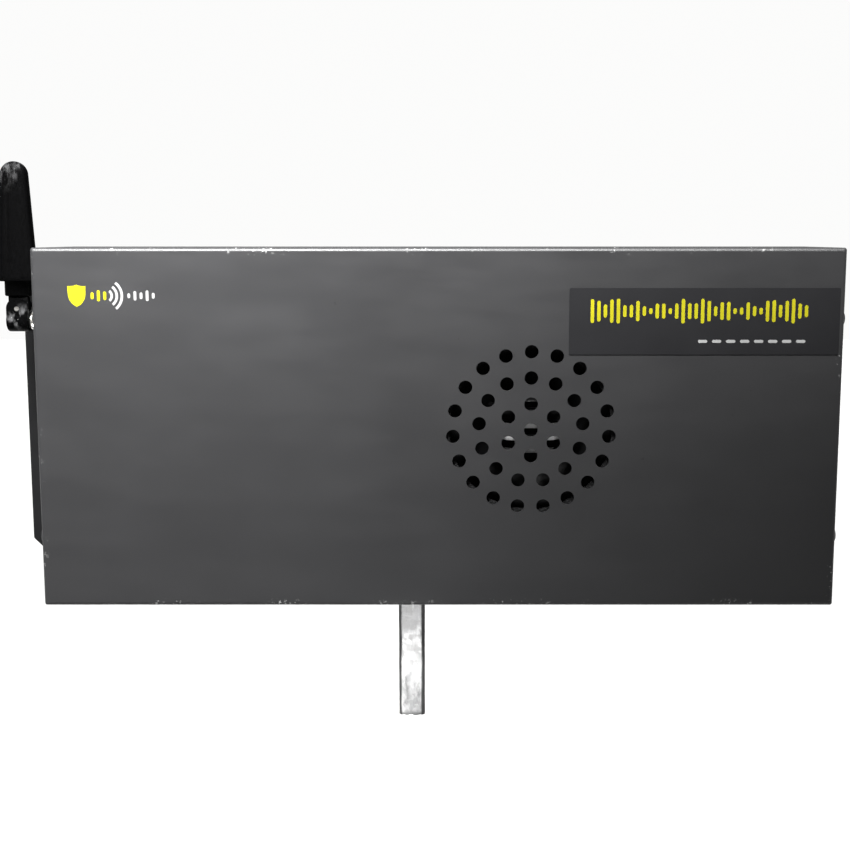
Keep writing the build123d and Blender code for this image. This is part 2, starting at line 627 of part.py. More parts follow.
def limit_switch():
    """Snap-action switch with ears for its lever and a bore for its plunger."""
    case = rounded(block(-51.0, -35.1, SWITCH_Y0, SWITCH_Y1, -8.0, 19.8), Axis.Y, 1.2)
    for y in (SWITCH_Y0, SWITCH_Y1 - 2.0):
        ear = block(-36.0, LEVER_X, y, y + 2.0, LEVER_Z - 2.0, LEVER_Z + 2.0)
        case += ear + rod_y(LEVER_X, y, y + 2.0, LEVER_Z, 2.0)
    for x, z in SWITCH_PLACES:
        case -= rod_y(x, -46, -34, z, 1.4)
    case -= rod_x(-43.0, -34.0, BAR_Y, PLUNGER_Z, 1.25)
    case -= rod_y(LEVER_X, -46, -34, LEVER_Z, 0.8)
    for z in (-2.0, 6.0, 14.0):
        case += block(-56.5, -51.0, BAR_Y - 0.3, BAR_Y + 0.3, z - 1.6, z + 1.6)
    return case


def switch_screws():
    return front_screws(SWITCH_PLACES, SWITCH_Y0, (1.4, 2.4, 1.6), length=13.0)


def lever_pin():
    return rod_y(LEVER_X, SWITCH_Y0, SWITCH_Y1, LEVER_Z, 0.8)


def nose_centre_x():
    """Place of the nose that leaves the running gap to the cam at rest."""
    slope = cam_slope()
    face_x = CAM_FACE_X - slope * (CAM_TOP - (LEVER_Z + LEVER_RISE))
    return face_x - (NOSE_R + RUN_GAP) * math.hypot(1, slope)


def switch_lever():
    """Sheet lever with an eye at its pin and a curled nose against the cam."""
    width, half_t = 5.0, 0.3
    nose_x, nose_z = nose_centre_x(), LEVER_Z + LEVER_RISE
    run = math.hypot(nose_x - LEVER_X, LEVER_RISE)
    lean = math.degrees(math.atan2(nose_x - LEVER_X, LEVER_RISE))
    strip = Pos(0, 0, (1.2 + run - NOSE_R + 0.3) / 2) * Box(2 * half_t, width, run - NOSE_R - 0.9)
    strip = Pos(LEVER_X, BAR_Y, LEVER_Z) * Rot(0, lean, 0) * strip
    eye = rod_y(LEVER_X, BAR_Y - width / 2, BAR_Y + width / 2, LEVER_Z, 1.5)
    nose = rod_y(nose_x, BAR_Y - width / 2, BAR_Y + width / 2, nose_z, NOSE_R)
    nose -= rod_y(nose_x, BAR_Y - width, BAR_Y + width, nose_z, NOSE_R - 0.6)
    lever = strip + eye + nose
    return lever - rod_y(LEVER_X, -50, -30, LEVER_Z, 0.85)


def switch_plunger():
    """Button of the limit switch, a running gap short of the lever."""
    lean = (nose_centre_x() - LEVER_X) / LEVER_RISE
    lever_face = LEVER_X + lean * (PLUNGER_Z - LEVER_Z) - 0.3 * math.hypot(1, lean)
    tip = lever_face - RUN_GAP
    button = rod_x(-41.0, tip, BAR_Y, PLUNGER_Z, 1.2)
    return fillet(button.edges().filter_by(GeomType.CIRCLE).sort_by(Axis.X)[-1], 0.35)


def spring_guide():
    """Nylon stud in the top arm that keeps the spring upright."""
    stud = rod_z(BAR_X, BAR_Y, SPRING_TOP - 10, SPRING_TOP, 3.5)
    return stud + rod_z(BAR_X, BAR_Y, SPRING_TOP, SPRING_TOP + ARM_T + 1.5, 2.5)


def return_spring():
    """Compression spring between the cam block and the top arm."""
    low = CAM_TOP + SPRING_WIRE_R
    high = SPRING_TOP - SPRING_WIRE_R
    coil = Helix((high - low) / SPRING_TURNS, high - low, SPRING_R)
    section = Plane(origin=coil @ 0, z_dir=coil % 0) * Circle(SPRING_WIRE_R)
    return Pos(BAR_X, BAR_Y, low) * sweep(section, coil, is_frenet=True)


# ---- antenna -----------------------------------------------------------------------
def antenna_jack():
    """Bulkhead connector: threaded barrel through the tray's side, hex flange inside."""
    inner = -TRAY_HALF_W + SHEET
    barrel = rod_x(JACK_TIP, inner + 3, ANT_Y, ANT_Z, JACK_R)
    flange = hex_x(inner, inner + 2.2, ANT_Y, ANT_Z, 8.0)
    tail = rod_x(inner, -184.0, ANT_Y, ANT_Z, 2.2)
    return barrel + flange + tail


def jack_washer():
    wall = -TRAY_HALF_W
    return rod_x(wall - 0.8, wall, ANT_Y, ANT_Z, 4.9) - rod_x(wall - 2, wall + 1, ANT_Y, ANT_Z, JACK_R)


def jack_nut():
    outer = -TRAY_HALF_W - 0.8
    nut = hex_x(outer - 2.2, outer, ANT_Y, ANT_Z, 8.0)
    return nut - rod_x(outer - 4, outer + 1, ANT_Y, ANT_Z, JACK_R)


def antenna_coupling_nut():
    """Knurled nut that holds the antenna on the connector."""
    hex_part = hex_x(COUPLING_HEX, COUPLING_FACE, ANT_Y, ANT_Z, 8.4)
    grip = rod_x(COUPLING_END, COUPLING_HEX, ANT_Y, ANT_Z, 4.6)
    grip = fillet(grip.edges().filter_by(GeomType.CIRCLE).sort_by(Axis.X)[0], 0.6)
    nut = grip + hex_part - rod_x(JACK_TIP, COUPLING_FACE + 1, ANT_Y, ANT_Z, JACK_R)
    return nut - rod_x(COUPLING_END - 1, JACK_TIP + 1, ANT_Y, ANT_Z, 2.55)


def antenna_knuckle():
    """Swivelling foot of the antenna: two ears for the hinge pin, and a slot the tongue folds into."""
    left, right = COUPLING_END - 12.0, COUPLING_END - 0.4
    foot = rod_x(left, right, ANT_Y, ANT_Z, KNUCKLE_R)
    foot = fillet(foot.edges().filter_by(GeomType.CIRCLE), 1.0)
    for side in (-1, 1):
        y0, y1 = ANT_Y + side * TONGUE_SLOT, ANT_Y + side * KNUCKLE_R
        ear = rod_y(PIVOT_X, y0, y1, PIVOT_Z, KNUCKLE_R)
        foot += ear + block(PIVOT_X - KNUCKLE_R, PIVOT_X + KNUCKLE_R, y0, y1, ANT_Z, PIVOT_Z)
    foot += rod_x(right - 1, JACK_TIP - 0.5, ANT_Y, ANT_Z, 2.5)
    slot_y0, slot_y1, deep = ANT_Y - TONGUE_SLOT, ANT_Y + TONGUE_SLOT, 5.4
    foot -= rod_y(PIVOT_X, slot_y0, slot_y1, PIVOT_Z, deep)
    foot -= block(left - 1, PIVOT_X, slot_y0, slot_y1, PIVOT_Z - deep, PIVOT_Z + deep)
    return foot - rod_y(PIVOT_X, ANT_Y - 7, ANT_Y + 7, PIVOT_Z, 1.2)


def hinge_pin():
    return rod_y(PIVOT_X, ANT_Y - KNUCKLE_R - 0.3, ANT_Y + KNUCKLE_R + 0.3, PIVOT_Z, 1.2)


def antenna_blade():
    """Flat tapered blade with a round tip, a narrower neck and the hinge tongue."""
    wide, narrow, neck = 10.0, 7.0, 7.0
    top = BLADE_LENGTH - narrow
    sides = Polyline((-narrow, top), (-wide, BLADE_SHOULDER), (wide, BLADE_SHOULDER), (narrow, top))
    tip = ThreePointArc((narrow, top), (0, BLADE_LENGTH), (-narrow, top))
    outline = Plane.XZ * make_face([sides, tip])
    blade = Pos(0, BLADE_T / 2, 0) * extrude(outline, BLADE_T)
    faces = blade.faces().sort_by(Axis.Y)
    blade = fillet(faces[0].edges() + faces[-1].edges(), 1.6)
    stem = block(-neck, neck, -BLADE_T / 2 + 0.4, BLADE_T / 2 - 0.4, BLADE_FOOT, BLADE_SHOULDER + 1)
    blade += rounded(stem, Axis.Z, 1.2)
    tongue = block(-5.0, 5.0, -TONGUE_HALF, TONGUE_HALF, 0, BLADE_FOOT + 1)
    tongue += rod_y(0, -TONGUE_HALF, TONGUE_HALF, 0, 5.0)
    blade = blade + tongue - rod_y(0, -7, 7, 0, 1.26)
    return Pos(PIVOT_X, ANT_Y, PIVOT_Z) * blade


# ---- leads -------------------------------------------------------------------------
def coax_pigtail():
    """Thin aerial lead from the connector to the radio module."""
    route = [(-184, ANT_Y, ANT_Z), (-176, ANT_Y, ANT_Z), (-166, -36, 49), (-158, -31, 44),
             (-153, -25, 38), (-153, -20, 35.5), (-153, BOARD_FACE - 2.4, 35.5)]
    return lead(route, 0.9)


def siren_lead():
    """Pair from the terminal block to the siren's driver."""
    route = [(-112.5, -16, -42), (-112.5, -16, -50), (-98, -9, -60), (-72, -8, -62), (-52, -8, -60),
             (-38, -8, -50), (-33.5, -10, -32), (-33.5, -12, -22)]
    return lead(route, 1.4)


def battery_lead():
    """Pair from the terminal block to the battery's tabs."""
    route = [(-132.5, -16, -42), (-132.5, -16, -53), (-118, -26, -66), (-94, -38, -74), (-66, -52, -78),
             (-38, -60, -78), (-14, -64, -76), (2, -69, -73), (11.2, -70, -72)]
    return lead(route, 1.6)


def switch_lead():
    """Pair from the terminal block to the limit switch."""
    route = [(-117.5, -16, -42), (-117.5, -16, -50), (-106, -22, -56), (-88, -30, -52), (-74, -37, -38),
             (-68, -40, -20), (-65, -40, -2), (-56.5, -40, -2)]
    return lead(route, 1.2)


def main():
    os.makedirs("parts", exist_ok=True)
    single = (
        mounting_plate, base_tray, cable_grommet, front_cover, label_panel,
        siren_horn, horn_gasket, horn_plug, driver_housing, driver_magnet, diaphragm,
        diaphragm_surround, siren_bracket, circuit_board, gsm_module, sim_socket,
        terminal_block, battery, battery_bracket, power_supply, supply_terminals,
        tamper_bracket, tamper_switch, tamper_plunger, trigger_bar, cam_block, stop_pin,
        guide_bracket, limit_switch, lever_pin, switch_lever, switch_plunger, spring_guide,
        return_spring, antenna_jack, jack_washer, jack_nut, antenna_coupling_nut,
        antenna_knuckle, hinge_pin, antenna_blade, coax_pigtail, siren_lead, battery_lead,
        switch_lead,
    )
    groups = (
        plate_screws, tray_screws, cover_screws, cover_nuts, horn_screws, arm_screws,
        board_standoffs, board_screws, relays, capacitors, battery_terminals, guide_bushes,
        switch_screws,
    )
    for make in single:
        save(make.__name__, make())
    for make in groups:
        save(make.__name__, *make())


main()
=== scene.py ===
import itertools
import json
import math
import random

import bmesh
import bpy
from mathutils import Matrix, Vector


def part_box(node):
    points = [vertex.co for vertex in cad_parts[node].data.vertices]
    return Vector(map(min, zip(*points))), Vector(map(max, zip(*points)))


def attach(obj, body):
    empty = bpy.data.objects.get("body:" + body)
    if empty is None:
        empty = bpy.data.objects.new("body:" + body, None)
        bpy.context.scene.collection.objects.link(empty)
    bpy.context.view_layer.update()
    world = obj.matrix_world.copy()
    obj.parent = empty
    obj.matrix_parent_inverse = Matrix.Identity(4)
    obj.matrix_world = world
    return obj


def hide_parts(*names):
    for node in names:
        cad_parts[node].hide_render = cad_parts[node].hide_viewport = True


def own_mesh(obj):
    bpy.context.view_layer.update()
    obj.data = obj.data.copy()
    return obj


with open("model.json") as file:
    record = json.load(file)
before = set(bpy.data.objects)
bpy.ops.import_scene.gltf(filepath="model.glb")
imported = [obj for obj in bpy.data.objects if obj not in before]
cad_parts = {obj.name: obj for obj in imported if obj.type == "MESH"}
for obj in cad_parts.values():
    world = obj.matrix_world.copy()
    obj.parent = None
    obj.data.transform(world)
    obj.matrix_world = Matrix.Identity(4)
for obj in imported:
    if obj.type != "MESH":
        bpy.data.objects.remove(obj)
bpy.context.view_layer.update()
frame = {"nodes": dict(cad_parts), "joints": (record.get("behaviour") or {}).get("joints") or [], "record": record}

MM = 0.001
random.seed(11)


# ---- places read from the frame ----------------------------------------------------
def middle(node):
    low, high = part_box(node)
    return (low + high) / 2


FACE_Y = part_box("front_cover")[0].y         # the cover's front face
PANEL_LOW, PANEL_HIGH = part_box("label_panel")
BAR_LOW, BAR_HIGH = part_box("trigger_bar")
BOARD_LOW, BOARD_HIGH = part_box("circuit_board")
JOINTS = {joint["name"]: joint for joint in frame["joints"]}

# ---- sizes of what is added in this file (metres) ----------------------------------
BAR_CORNER, BAR_WALL = 2.0 * MM, 1.2 * MM
BAR_DRAWN_IN = 0.06 * MM                    # keeps the wavy tube inside the CAD bar
BURR = 1.0 * MM
BLADE_FOOT, BLADE_SHOULDER, BLADE_LENGTH = 6.4 * MM, 14.0 * MM, 75.0 * MM
BLADE_WIDE, BLADE_NARROW, BLADE_NECK = 10.0 * MM, 7.0 * MM, 7.0 * MM
BLADE_THICK = 4.45 * MM                     # half its thickness
TONGUE_HALF, TONGUE_R = 2.6 * MM, 5.0 * MM
NUT_BORE, NUT_RIM, NUT_GRIP, NUT_CREST = 3.15 * MM, 4.0 * MM, 4.4 * MM, 4.6 * MM
NUT_GRIP_END, NUT_HEX_START, NUT_HEX = 4.9 * MM, 5.5 * MM, 8.4 * MM
WIRE_R = 0.6 * MM
SPRING_TURNS = 9
INK = 0.08 * MM
LEVELS, LEVEL_WIDTH = 34, 1.7 * MM
DASHES, DASH, DASH_GAP, DASH_WIDTH = 8, 4.6 * MM, 2.3 * MM, 1.5 * MM
MARK_X, MARK_Z = -177.6 * MM, 66.6 * MM
CHIP_PITCH, CHIP_LEG, CHIP_HEIGHT = 1.27 * MM, 1.6 * MM, 1.9 * MM
CHIPS = [                                   # centre x, centre z, half width, half height
    (-0.126, -0.006, 0.010, 0.010),
    (-0.104, 0.034, 0.0075, 0.005),
    (-0.082, 0.036, 0.006, 0.006),
    (-0.160, -0.002, 0.005, 0.004),
]

# ---- the stage (metres, degrees) ---------------------------------------------------
FLOOR_Z, FLOOR_REACH = -0.42, 6.0
CAMERA_DISTANCE, CAMERA_RISE, CAMERA_LENS = 0.670, 8.2, 57.0
CAMERA_SHIFT_X, CAMERA_SHIFT_Y = -0.0159, 0.006


# ---- node helpers ------------------------------------------------------------------
def add(tree, kind, inputs=None, **settings):
    """A shader node with its settings, input values and links."""
    node = tree.nodes.new("ShaderNode" + kind)
    for key, value in settings.items():
        setattr(node, key, value)
    for key, value in (inputs or {}).items():
        if isinstance(value, bpy.types.NodeSocket):
            tree.links.new(value, node.inputs[key])
        else:
            node.inputs[key].default_value = value
    return node


def new_material(name, metallic=0.0, specular=0.5, coat=0.0, coat_rough=0.2):
    """A node material; what is the same all over it is set on the shader itself."""
    material = bpy.data.materials.new(name)
    material.use_nodes = True
    tree = material.node_tree
    shader = tree.nodes["Principled BSDF"]
    shader.inputs["Metallic"].default_value = metallic
    shader.inputs["Specular IOR Level"].default_value = specular
    shader.inputs["Coat Weight"].default_value = coat
    shader.inputs["Coat Roughness"].default_value = coat_rough
    return material, tree, shader


def place(tree, stretch=None):
    """Object coordinates in metres, stretched where a pattern runs in one direction."""
    coords = add(tree, "TexCoord").outputs["Object"]
    if stretch is None:
        return coords
    return add(tree, "Mapping", {"Vector": coords, "Scale": stretch}).outputs["Vector"]


def noise(tree, where, scale, detail=3.0, rough=0.5):
    values = {"Vector": where, "Scale": scale, "Detail": detail, "Roughness": rough}
    return add(tree, "TexNoise", values).outputs["Fac"]


def spread(tree, value, low, high, to_low=0.0, to_high=1.0):
    """A value's range taken to another, smoothly and clamped."""
    values = {"Value": value, "From Min": low, "From Max": high, "To Min": to_low, "To Max": to_high}
    return add(tree, "MapRange", values, interpolation_type="SMOOTHSTEP").outputs["Result"]


def calc(tree, operation, a, b=0.0):
    return add(tree, "Math", {0: a, 1: b}, operation=operation).outputs["Value"]


def mix(tree, share, a, b):
    """Two colours mixed; a colour is three numbers or a socket."""
    node = tree.nodes.new("ShaderNodeMix")
    node.data_type = "RGBA"
    share_in, a_in, b_in = node.inputs[0], node.inputs[6], node.inputs[7]
    for socket, value in ((share_in, share), (a_in, a), (b_in, b)):
        if isinstance(value, bpy.types.NodeSocket):
            tree.links.new(value, socket)
        elif socket is share_in:
            socket.default_value = value
        else:
            socket.default_value = (*value, 1.0)
    return node.outputs[2]


def relief(tree, shader, height, distance, strength=1.0, below=None):
    """Bump of a real height in metres, on top of another bump where one is given."""
    inputs = {"Height": height, "Distance": distance, "Strength": strength}
    if below is not None:
        inputs["Normal"] = below
    node = add(tree, "Bump", inputs)
    tree.links.new(node.outputs["Normal"], shader.inputs["Normal"])
    return node.outputs["Normal"]


def drive(tree, shader, colour, rough):
    tree.links.new(colour, shader.inputs["Base Color"])
    tree.links.new(rough, shader.inputs["Roughness"])


def shade(colour, factor):
    return tuple(min(1.0, c * factor) for c in colour)


# ---- materials ---------------------------------------------------------------------
def distance_to_edge(tree, where, node):
    """Distance to the nearest outer edge: the middle one of those to its side, top and front."""
    low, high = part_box(node)
    axes = add(tree, "SeparateXYZ", {"Vector": where}).outputs
    from_side = calc(tree, "SUBTRACT", high.x, calc(tree, "ABSOLUTE", axes["X"]))
    from_top = calc(tree, "SUBTRACT", high.z, calc(tree, "ABSOLUTE", axes["Z"]))
    from_front = calc(tree, "SUBTRACT", axes["Y"], low.y)
    nearer = calc(tree, "MINIMUM", from_side, from_top)
    farther = calc(tree, "MAXIMUM", from_side, from_top)
    return calc(tree, "MAXIMUM", nearer, calc(tree, "MINIMUM", farther, from_front))


def powder_coat(name, colour, rough=0.42, chips=0.0, node="front_cover", specular=0.32):
    """Satin powder coat: orange peel, faint mottling, dust, and chips along a node's outer edges."""
    material, tree, shader = new_material(name, specular=specular)
    where = place(tree)
    cloud = noise(tree, where, 14, 4)
    speck = noise(tree, where, 2600, 2)
    base = mix(tree, spread(tree, cloud, 0.3, 0.7), shade(colour, 0.93), shade(colour, 1.07))
    base = mix(tree, spread(tree, speck, 0.60, 0.75, 0.0, 0.35), base, shade(colour, 1.6))
    smear = noise(tree, place(tree, (6, 6, 22)), 3, 5, 0.6)
    roughness = spread(tree, smear, 0.3, 0.7, rough - 0.05, rough + 0.07)
    if chips:
        band = spread(tree, distance_to_edge(tree, where, node), 4.2 * MM, 0.4 * MM)
        patch = spread(tree, noise(tree, where, 42, 2), 0.52, 0.62)
        limit = 0.63 - 0.03 * chips
        spots = spread(tree, noise(tree, where, 560, 3, 0.6), limit, limit + 0.04)
        worn = calc(tree, "MULTIPLY", calc(tree, "MULTIPLY", band, patch), spots)
        base = mix(tree, worn, base, (0.30, 0.30, 0.295))
        dust = spread(tree, noise(tree, where, 230, 2), 0.735, 0.775, 0.0, 0.5)
        base = mix(tree, dust, base, shade(colour, 0.35))
    drive(tree, shader, base, roughness)
    peel = noise(tree, where, 620, 2)
    first = relief(tree, shader, peel, 0.00003, 0.55)
    relief(tree, shader, noise(tree, where, 3200, 2), 0.000006, 0.5, first)
    return material


def printed(name, colour, rough=0.5, specular=0.4):
    """Screen-printed film or ink with a faint weave and uneven cover."""
    material, tree, shader = new_material(name, specular=specular)
    where = place(tree)
    uneven = noise(tree, where, 60, 4)
    grain = noise(tree, where, 3600, 2)
    base = mix(tree, spread(tree, uneven, 0.3, 0.7), shade(colour, 0.93), shade(colour, 1.06))
    base = mix(tree, spread(tree, grain, 0.58, 0.74, 0.0, 0.25), base, shade(colour, 0.7))
    drive(tree, shader, base, spread(tree, grain, 0.3, 0.7, rough - 0.05, rough + 0.06))
    relief(tree, shader, grain, 0.000012, 0.5)
    return material


def moulded(name, colour, rough=0.55, grain=1500, depth=0.00003, coat=0.0, scuff=0.3, specular=0.45):
    """Moulded plastic: fine spark grain, flow clouds and light scuffs."""
    material, tree, shader = new_material(name, specular=specular, coat=coat)
    where = place(tree)
    flow = noise(tree, where, 35, 4)
    fine = noise(tree, where, grain, 3)
    base = mix(tree, spread(tree, flow, 0.3, 0.7), shade(colour, 0.88), shade(colour, 1.12))
    rub = spread(tree, noise(tree, place(tree, (90, 90, 16)), 6, 5, 0.65), 0.58, 0.72, 0.0, scuff)
    base = mix(tree, rub, base, tuple(0.7 * c + 0.035 for c in colour))
    drive(tree, shader, base, spread(tree, fine, 0.3, 0.7, rough - 0.07, rough + 0.07))
    relief(tree, shader, fine, depth, 0.6)
    return material


def antenna_skin(name):
    """Matt black moulding, with handling marks and dust around its foot, and lighter mottling near its tip that is
    a painted highlight.
    """
    material, tree, shader = new_material(name, specular=0.02)
    where = place(tree)
    fine = noise(tree, where, 1700, 3)
    height = add(tree, "SeparateXYZ", {"Vector": where}).outputs["Z"]
    pin_z = JOINTS["antenna_tilt"]["pos_m"][2]
    tip = spread(tree, height, pin_z + 0.058, pin_z + 0.074)
    foot = spread(tree, height, pin_z + 0.004, pin_z - 0.003)
    clouds = spread(tree, noise(tree, place(tree, (1.6, 1.6, 0.8)), 150, 4, 0.6), 0.50, 0.68)
    # The lighter mottling near the tip is a painted highlight; around the foot it is dust.
    dust = calc(tree, "MULTIPLY", calc(tree, "MAXIMUM", calc(tree, "MULTIPLY", tip, 0.55), foot), clouds)
    base = mix(tree, spread(tree, fine, 0.3, 0.7), (0.0004, 0.0004, 0.0004), (0.0010, 0.0010, 0.0011))
    base = mix(tree, dust, base, (0.055, 0.055, 0.056))
    fleck = spread(tree, noise(tree, where, 900, 2), 0.70, 0.74)
    fleck = calc(tree, "MULTIPLY", calc(tree, "MULTIPLY", fleck, foot), 0.8)
    base = mix(tree, fleck, base, (0.30, 0.30, 0.30))
    drive(tree, shader, base, spread(tree, fine, 0.3, 0.7, 0.36, 0.50))
    relief(tree, shader, fine, 0.00002, 0.6)
    return material


def plated(name, colour, rough=0.3, stretch=(1, 1, 1), tint=None):
    """Plated or bright metal: rolling marks, cloudy passivation and fine scratches."""
    material, tree, shader = new_material(name, metallic=1.0)
    where = place(tree)
    cloud = noise(tree, where, 55, 5, 0.6)
    marks = noise(tree, place(tree, stretch), 900, 3, 0.6)
    base = mix(tree, spread(tree, cloud, 0.35, 0.7), shade(colour, 0.86), tint or shade(colour, 1.05))
    base = mix(tree, spread(tree, marks, 0.55, 0.8, 0.0, 0.5), base, shade(colour, 0.6))
    blend = calc(tree, "ADD", calc(tree, "MULTIPLY", cloud, 0.5), calc(tree, "MULTIPLY", marks, 0.5))
    drive(tree, shader, base, spread(tree, blend, 0.3, 0.7, max(0.05, rough - 0.1), rough + 0.12))
    relief(tree, shader, marks, 0.00001, 0.4)
    return material


def plug_metal(name):
    """Black phase plug with bright metal painted on the lower part of its level lands, from the middle down:
    painted glints that show through the grille's holes.
    """
    material, tree, shader = new_material(name, metallic=0.3, specular=0.1)
    where = place(tree)
    axes = add(tree, "SeparateXYZ", {"Vector": where}).outputs
    row = calc(tree, "FRACT", calc(tree, "DIVIDE", calc(tree, "SUBTRACT", axes["Z"], 0.0003), 0.0065))
    land = spread(tree, row, 0.37, 0.34)
    low_half = spread(tree, axes["Z"], 0.0052, 0.0042)
    front = spread(tree, axes["Y"], -0.0655, -0.0667)
    # painted glint: bright bands on the lands, placed so that some of the grille's holes show a glint
    bright = calc(tree, "MULTIPLY", calc(tree, "MULTIPLY", land, low_half), front)
    brushed = noise(tree, place(tree, ALONG_X), 900, 3, 0.6)
    metal = mix(tree, spread(tree, brushed, 0.3, 0.7), (0.72, 0.72, 0.72), (0.95, 0.95, 0.95))
    base = mix(tree, bright, (0.006, 0.006, 0.006), metal)
    drive(tree, shader, base, spread(tree, brushed, 0.3, 0.7, 0.30, 0.48))
    relief(tree, shader, brushed, 0.00001, 0.4)
    return material


def galvanised(name):
    """Hot-dip zinc: fine spangle, white bloom, dark stains, and painted shade along the tube's rounded front
    corners.
    """
    material, tree, shader = new_material(name, metallic=0.35, specular=0.4)
    where = place(tree)
    warp = add(tree, "TexNoise", {"Vector": where, "Scale": 240.0, "Detail": 3.0}).outputs["Color"]
    moved = add(tree, "VectorMath", {0: warp, 1: (0.006, 0.006, 0.006)}, operation="MULTIPLY").outputs[0]
    bent = add(tree, "VectorMath", {0: where, 1: moved}, operation="ADD").outputs[0]
    cells = add(tree, "TexVoronoi", {"Vector": bent, "Scale": 420.0})
    tone = add(tree, "SeparateColor", {"Color": cells.outputs["Color"]}).outputs[0]
    base = mix(tree, spread(tree, tone, 0.1, 0.9), (0.38, 0.38, 0.384), (0.52, 0.52, 0.52))
    bloom = spread(tree, noise(tree, place(tree, (1, 1, 0.35)), 120, 5, 0.62), 0.40, 0.60)
    base = mix(tree, bloom, base, (0.74, 0.74, 0.735))
    stain = spread(tree, noise(tree, place(tree, (1, 1, 0.3)), 190, 5, 0.7), 0.52, 0.70, 0.0, 0.7)
    base = mix(tree, stain, base, (0.16, 0.16, 0.157))
    axes = add(tree, "SeparateXYZ", {"Vector": where}).outputs
    ragged = spread(tree, noise(tree, place(tree, (1, 1, 0.12)), 260, 4), 0.3, 0.7, -0.0004, 0.0004)
    centre = middle("trigger_bar")
    left = calc(tree, "SUBTRACT", centre.x, axes["X"])
    right = calc(tree, "SUBTRACT", axes["X"], centre.x)
    front = calc(tree, "SUBTRACT", centre.y, axes["Y"])
    at_front = spread(tree, front, 0.0050, 0.0058)
    # painted shade: near-black bands along both sides of the front face, in place of the shade on the tube's
    # rounded corners
    painted_corner_shade_left = spread(tree, calc(tree, "ADD", left, ragged), 0.0049, 0.0058)
    painted_corner_shade_right = spread(tree, calc(tree, "ADD", right, ragged), 0.0048, 0.0057)
    painted_corner_shade = calc(tree, "MULTIPLY", calc(tree, "MAXIMUM", painted_corner_shade_left, painted_corner_shade_right), at_front)
    base = mix(tree, calc(tree, "MULTIPLY", painted_corner_shade, 0.9), base, (0.015, 0.015, 0.015))
    drive(tree, shader, base, spread(tree, tone, 0.1, 0.9, 0.40, 0.6))
    first = relief(tree, shader, cells.outputs["Distance"], 0.00004, 0.3)
    relief(tree, shader, noise(tree, where, 1500, 4, 0.6), 0.00003, 0.5, first)
    return material


def laminate(name):
    """Green solder mask over glass weave."""
    material, tree, shader = new_material(name, specular=0.5, coat=0.4, coat_rough=0.15)
    where = place(tree)
    weave_x = add(tree, "TexWave", {"Vector": where, "Scale": 420.0}, bands_direction="X").outputs["Fac"]
    weave_z = add(tree, "TexWave", {"Vector": where, "Scale": 420.0}, bands_direction="Z").outputs["Fac"]
    weave = calc(tree, "MULTIPLY", weave_x, weave_z)
    base = mix(tree, noise(tree, where, 40, 4), (0.006, 0.075, 0.028), (0.010, 0.115, 0.040))
    base = mix(tree, calc(tree, "MULTIPLY", weave, 0.25), base, (0.02, 0.16, 0.06))
    drive(tree, shader, base, spread(tree, weave, 0.0, 1.0, 0.28, 0.40))
    relief(tree, shader, weave, 0.000008, 0.4)
    return material


def foam(name):
    """Open-cell foam."""
    material, tree, shader = new_material(name, specular=0.15)
    where = place(tree)
    cells = add(tree, "TexVoronoi", {"Vector": where, "Scale": 1100.0}).outputs["Distance"]
    base = mix(tree, spread(tree, cells, 0.1, 0.6), (0.020, 0.020, 0.021), (0.004, 0.004, 0.004))
    drive(tree, shader, base, spread(tree, cells, 0.0, 0.6, 0.85, 0.95))
    relief(tree, shader, cells, 0.0003, 0.8)
    return material


GREY = (0.020, 0.020, 0.0208)
ALONG_Z = (1, 1, 0.06)
ALONG_X = (0.06, 1, 1)


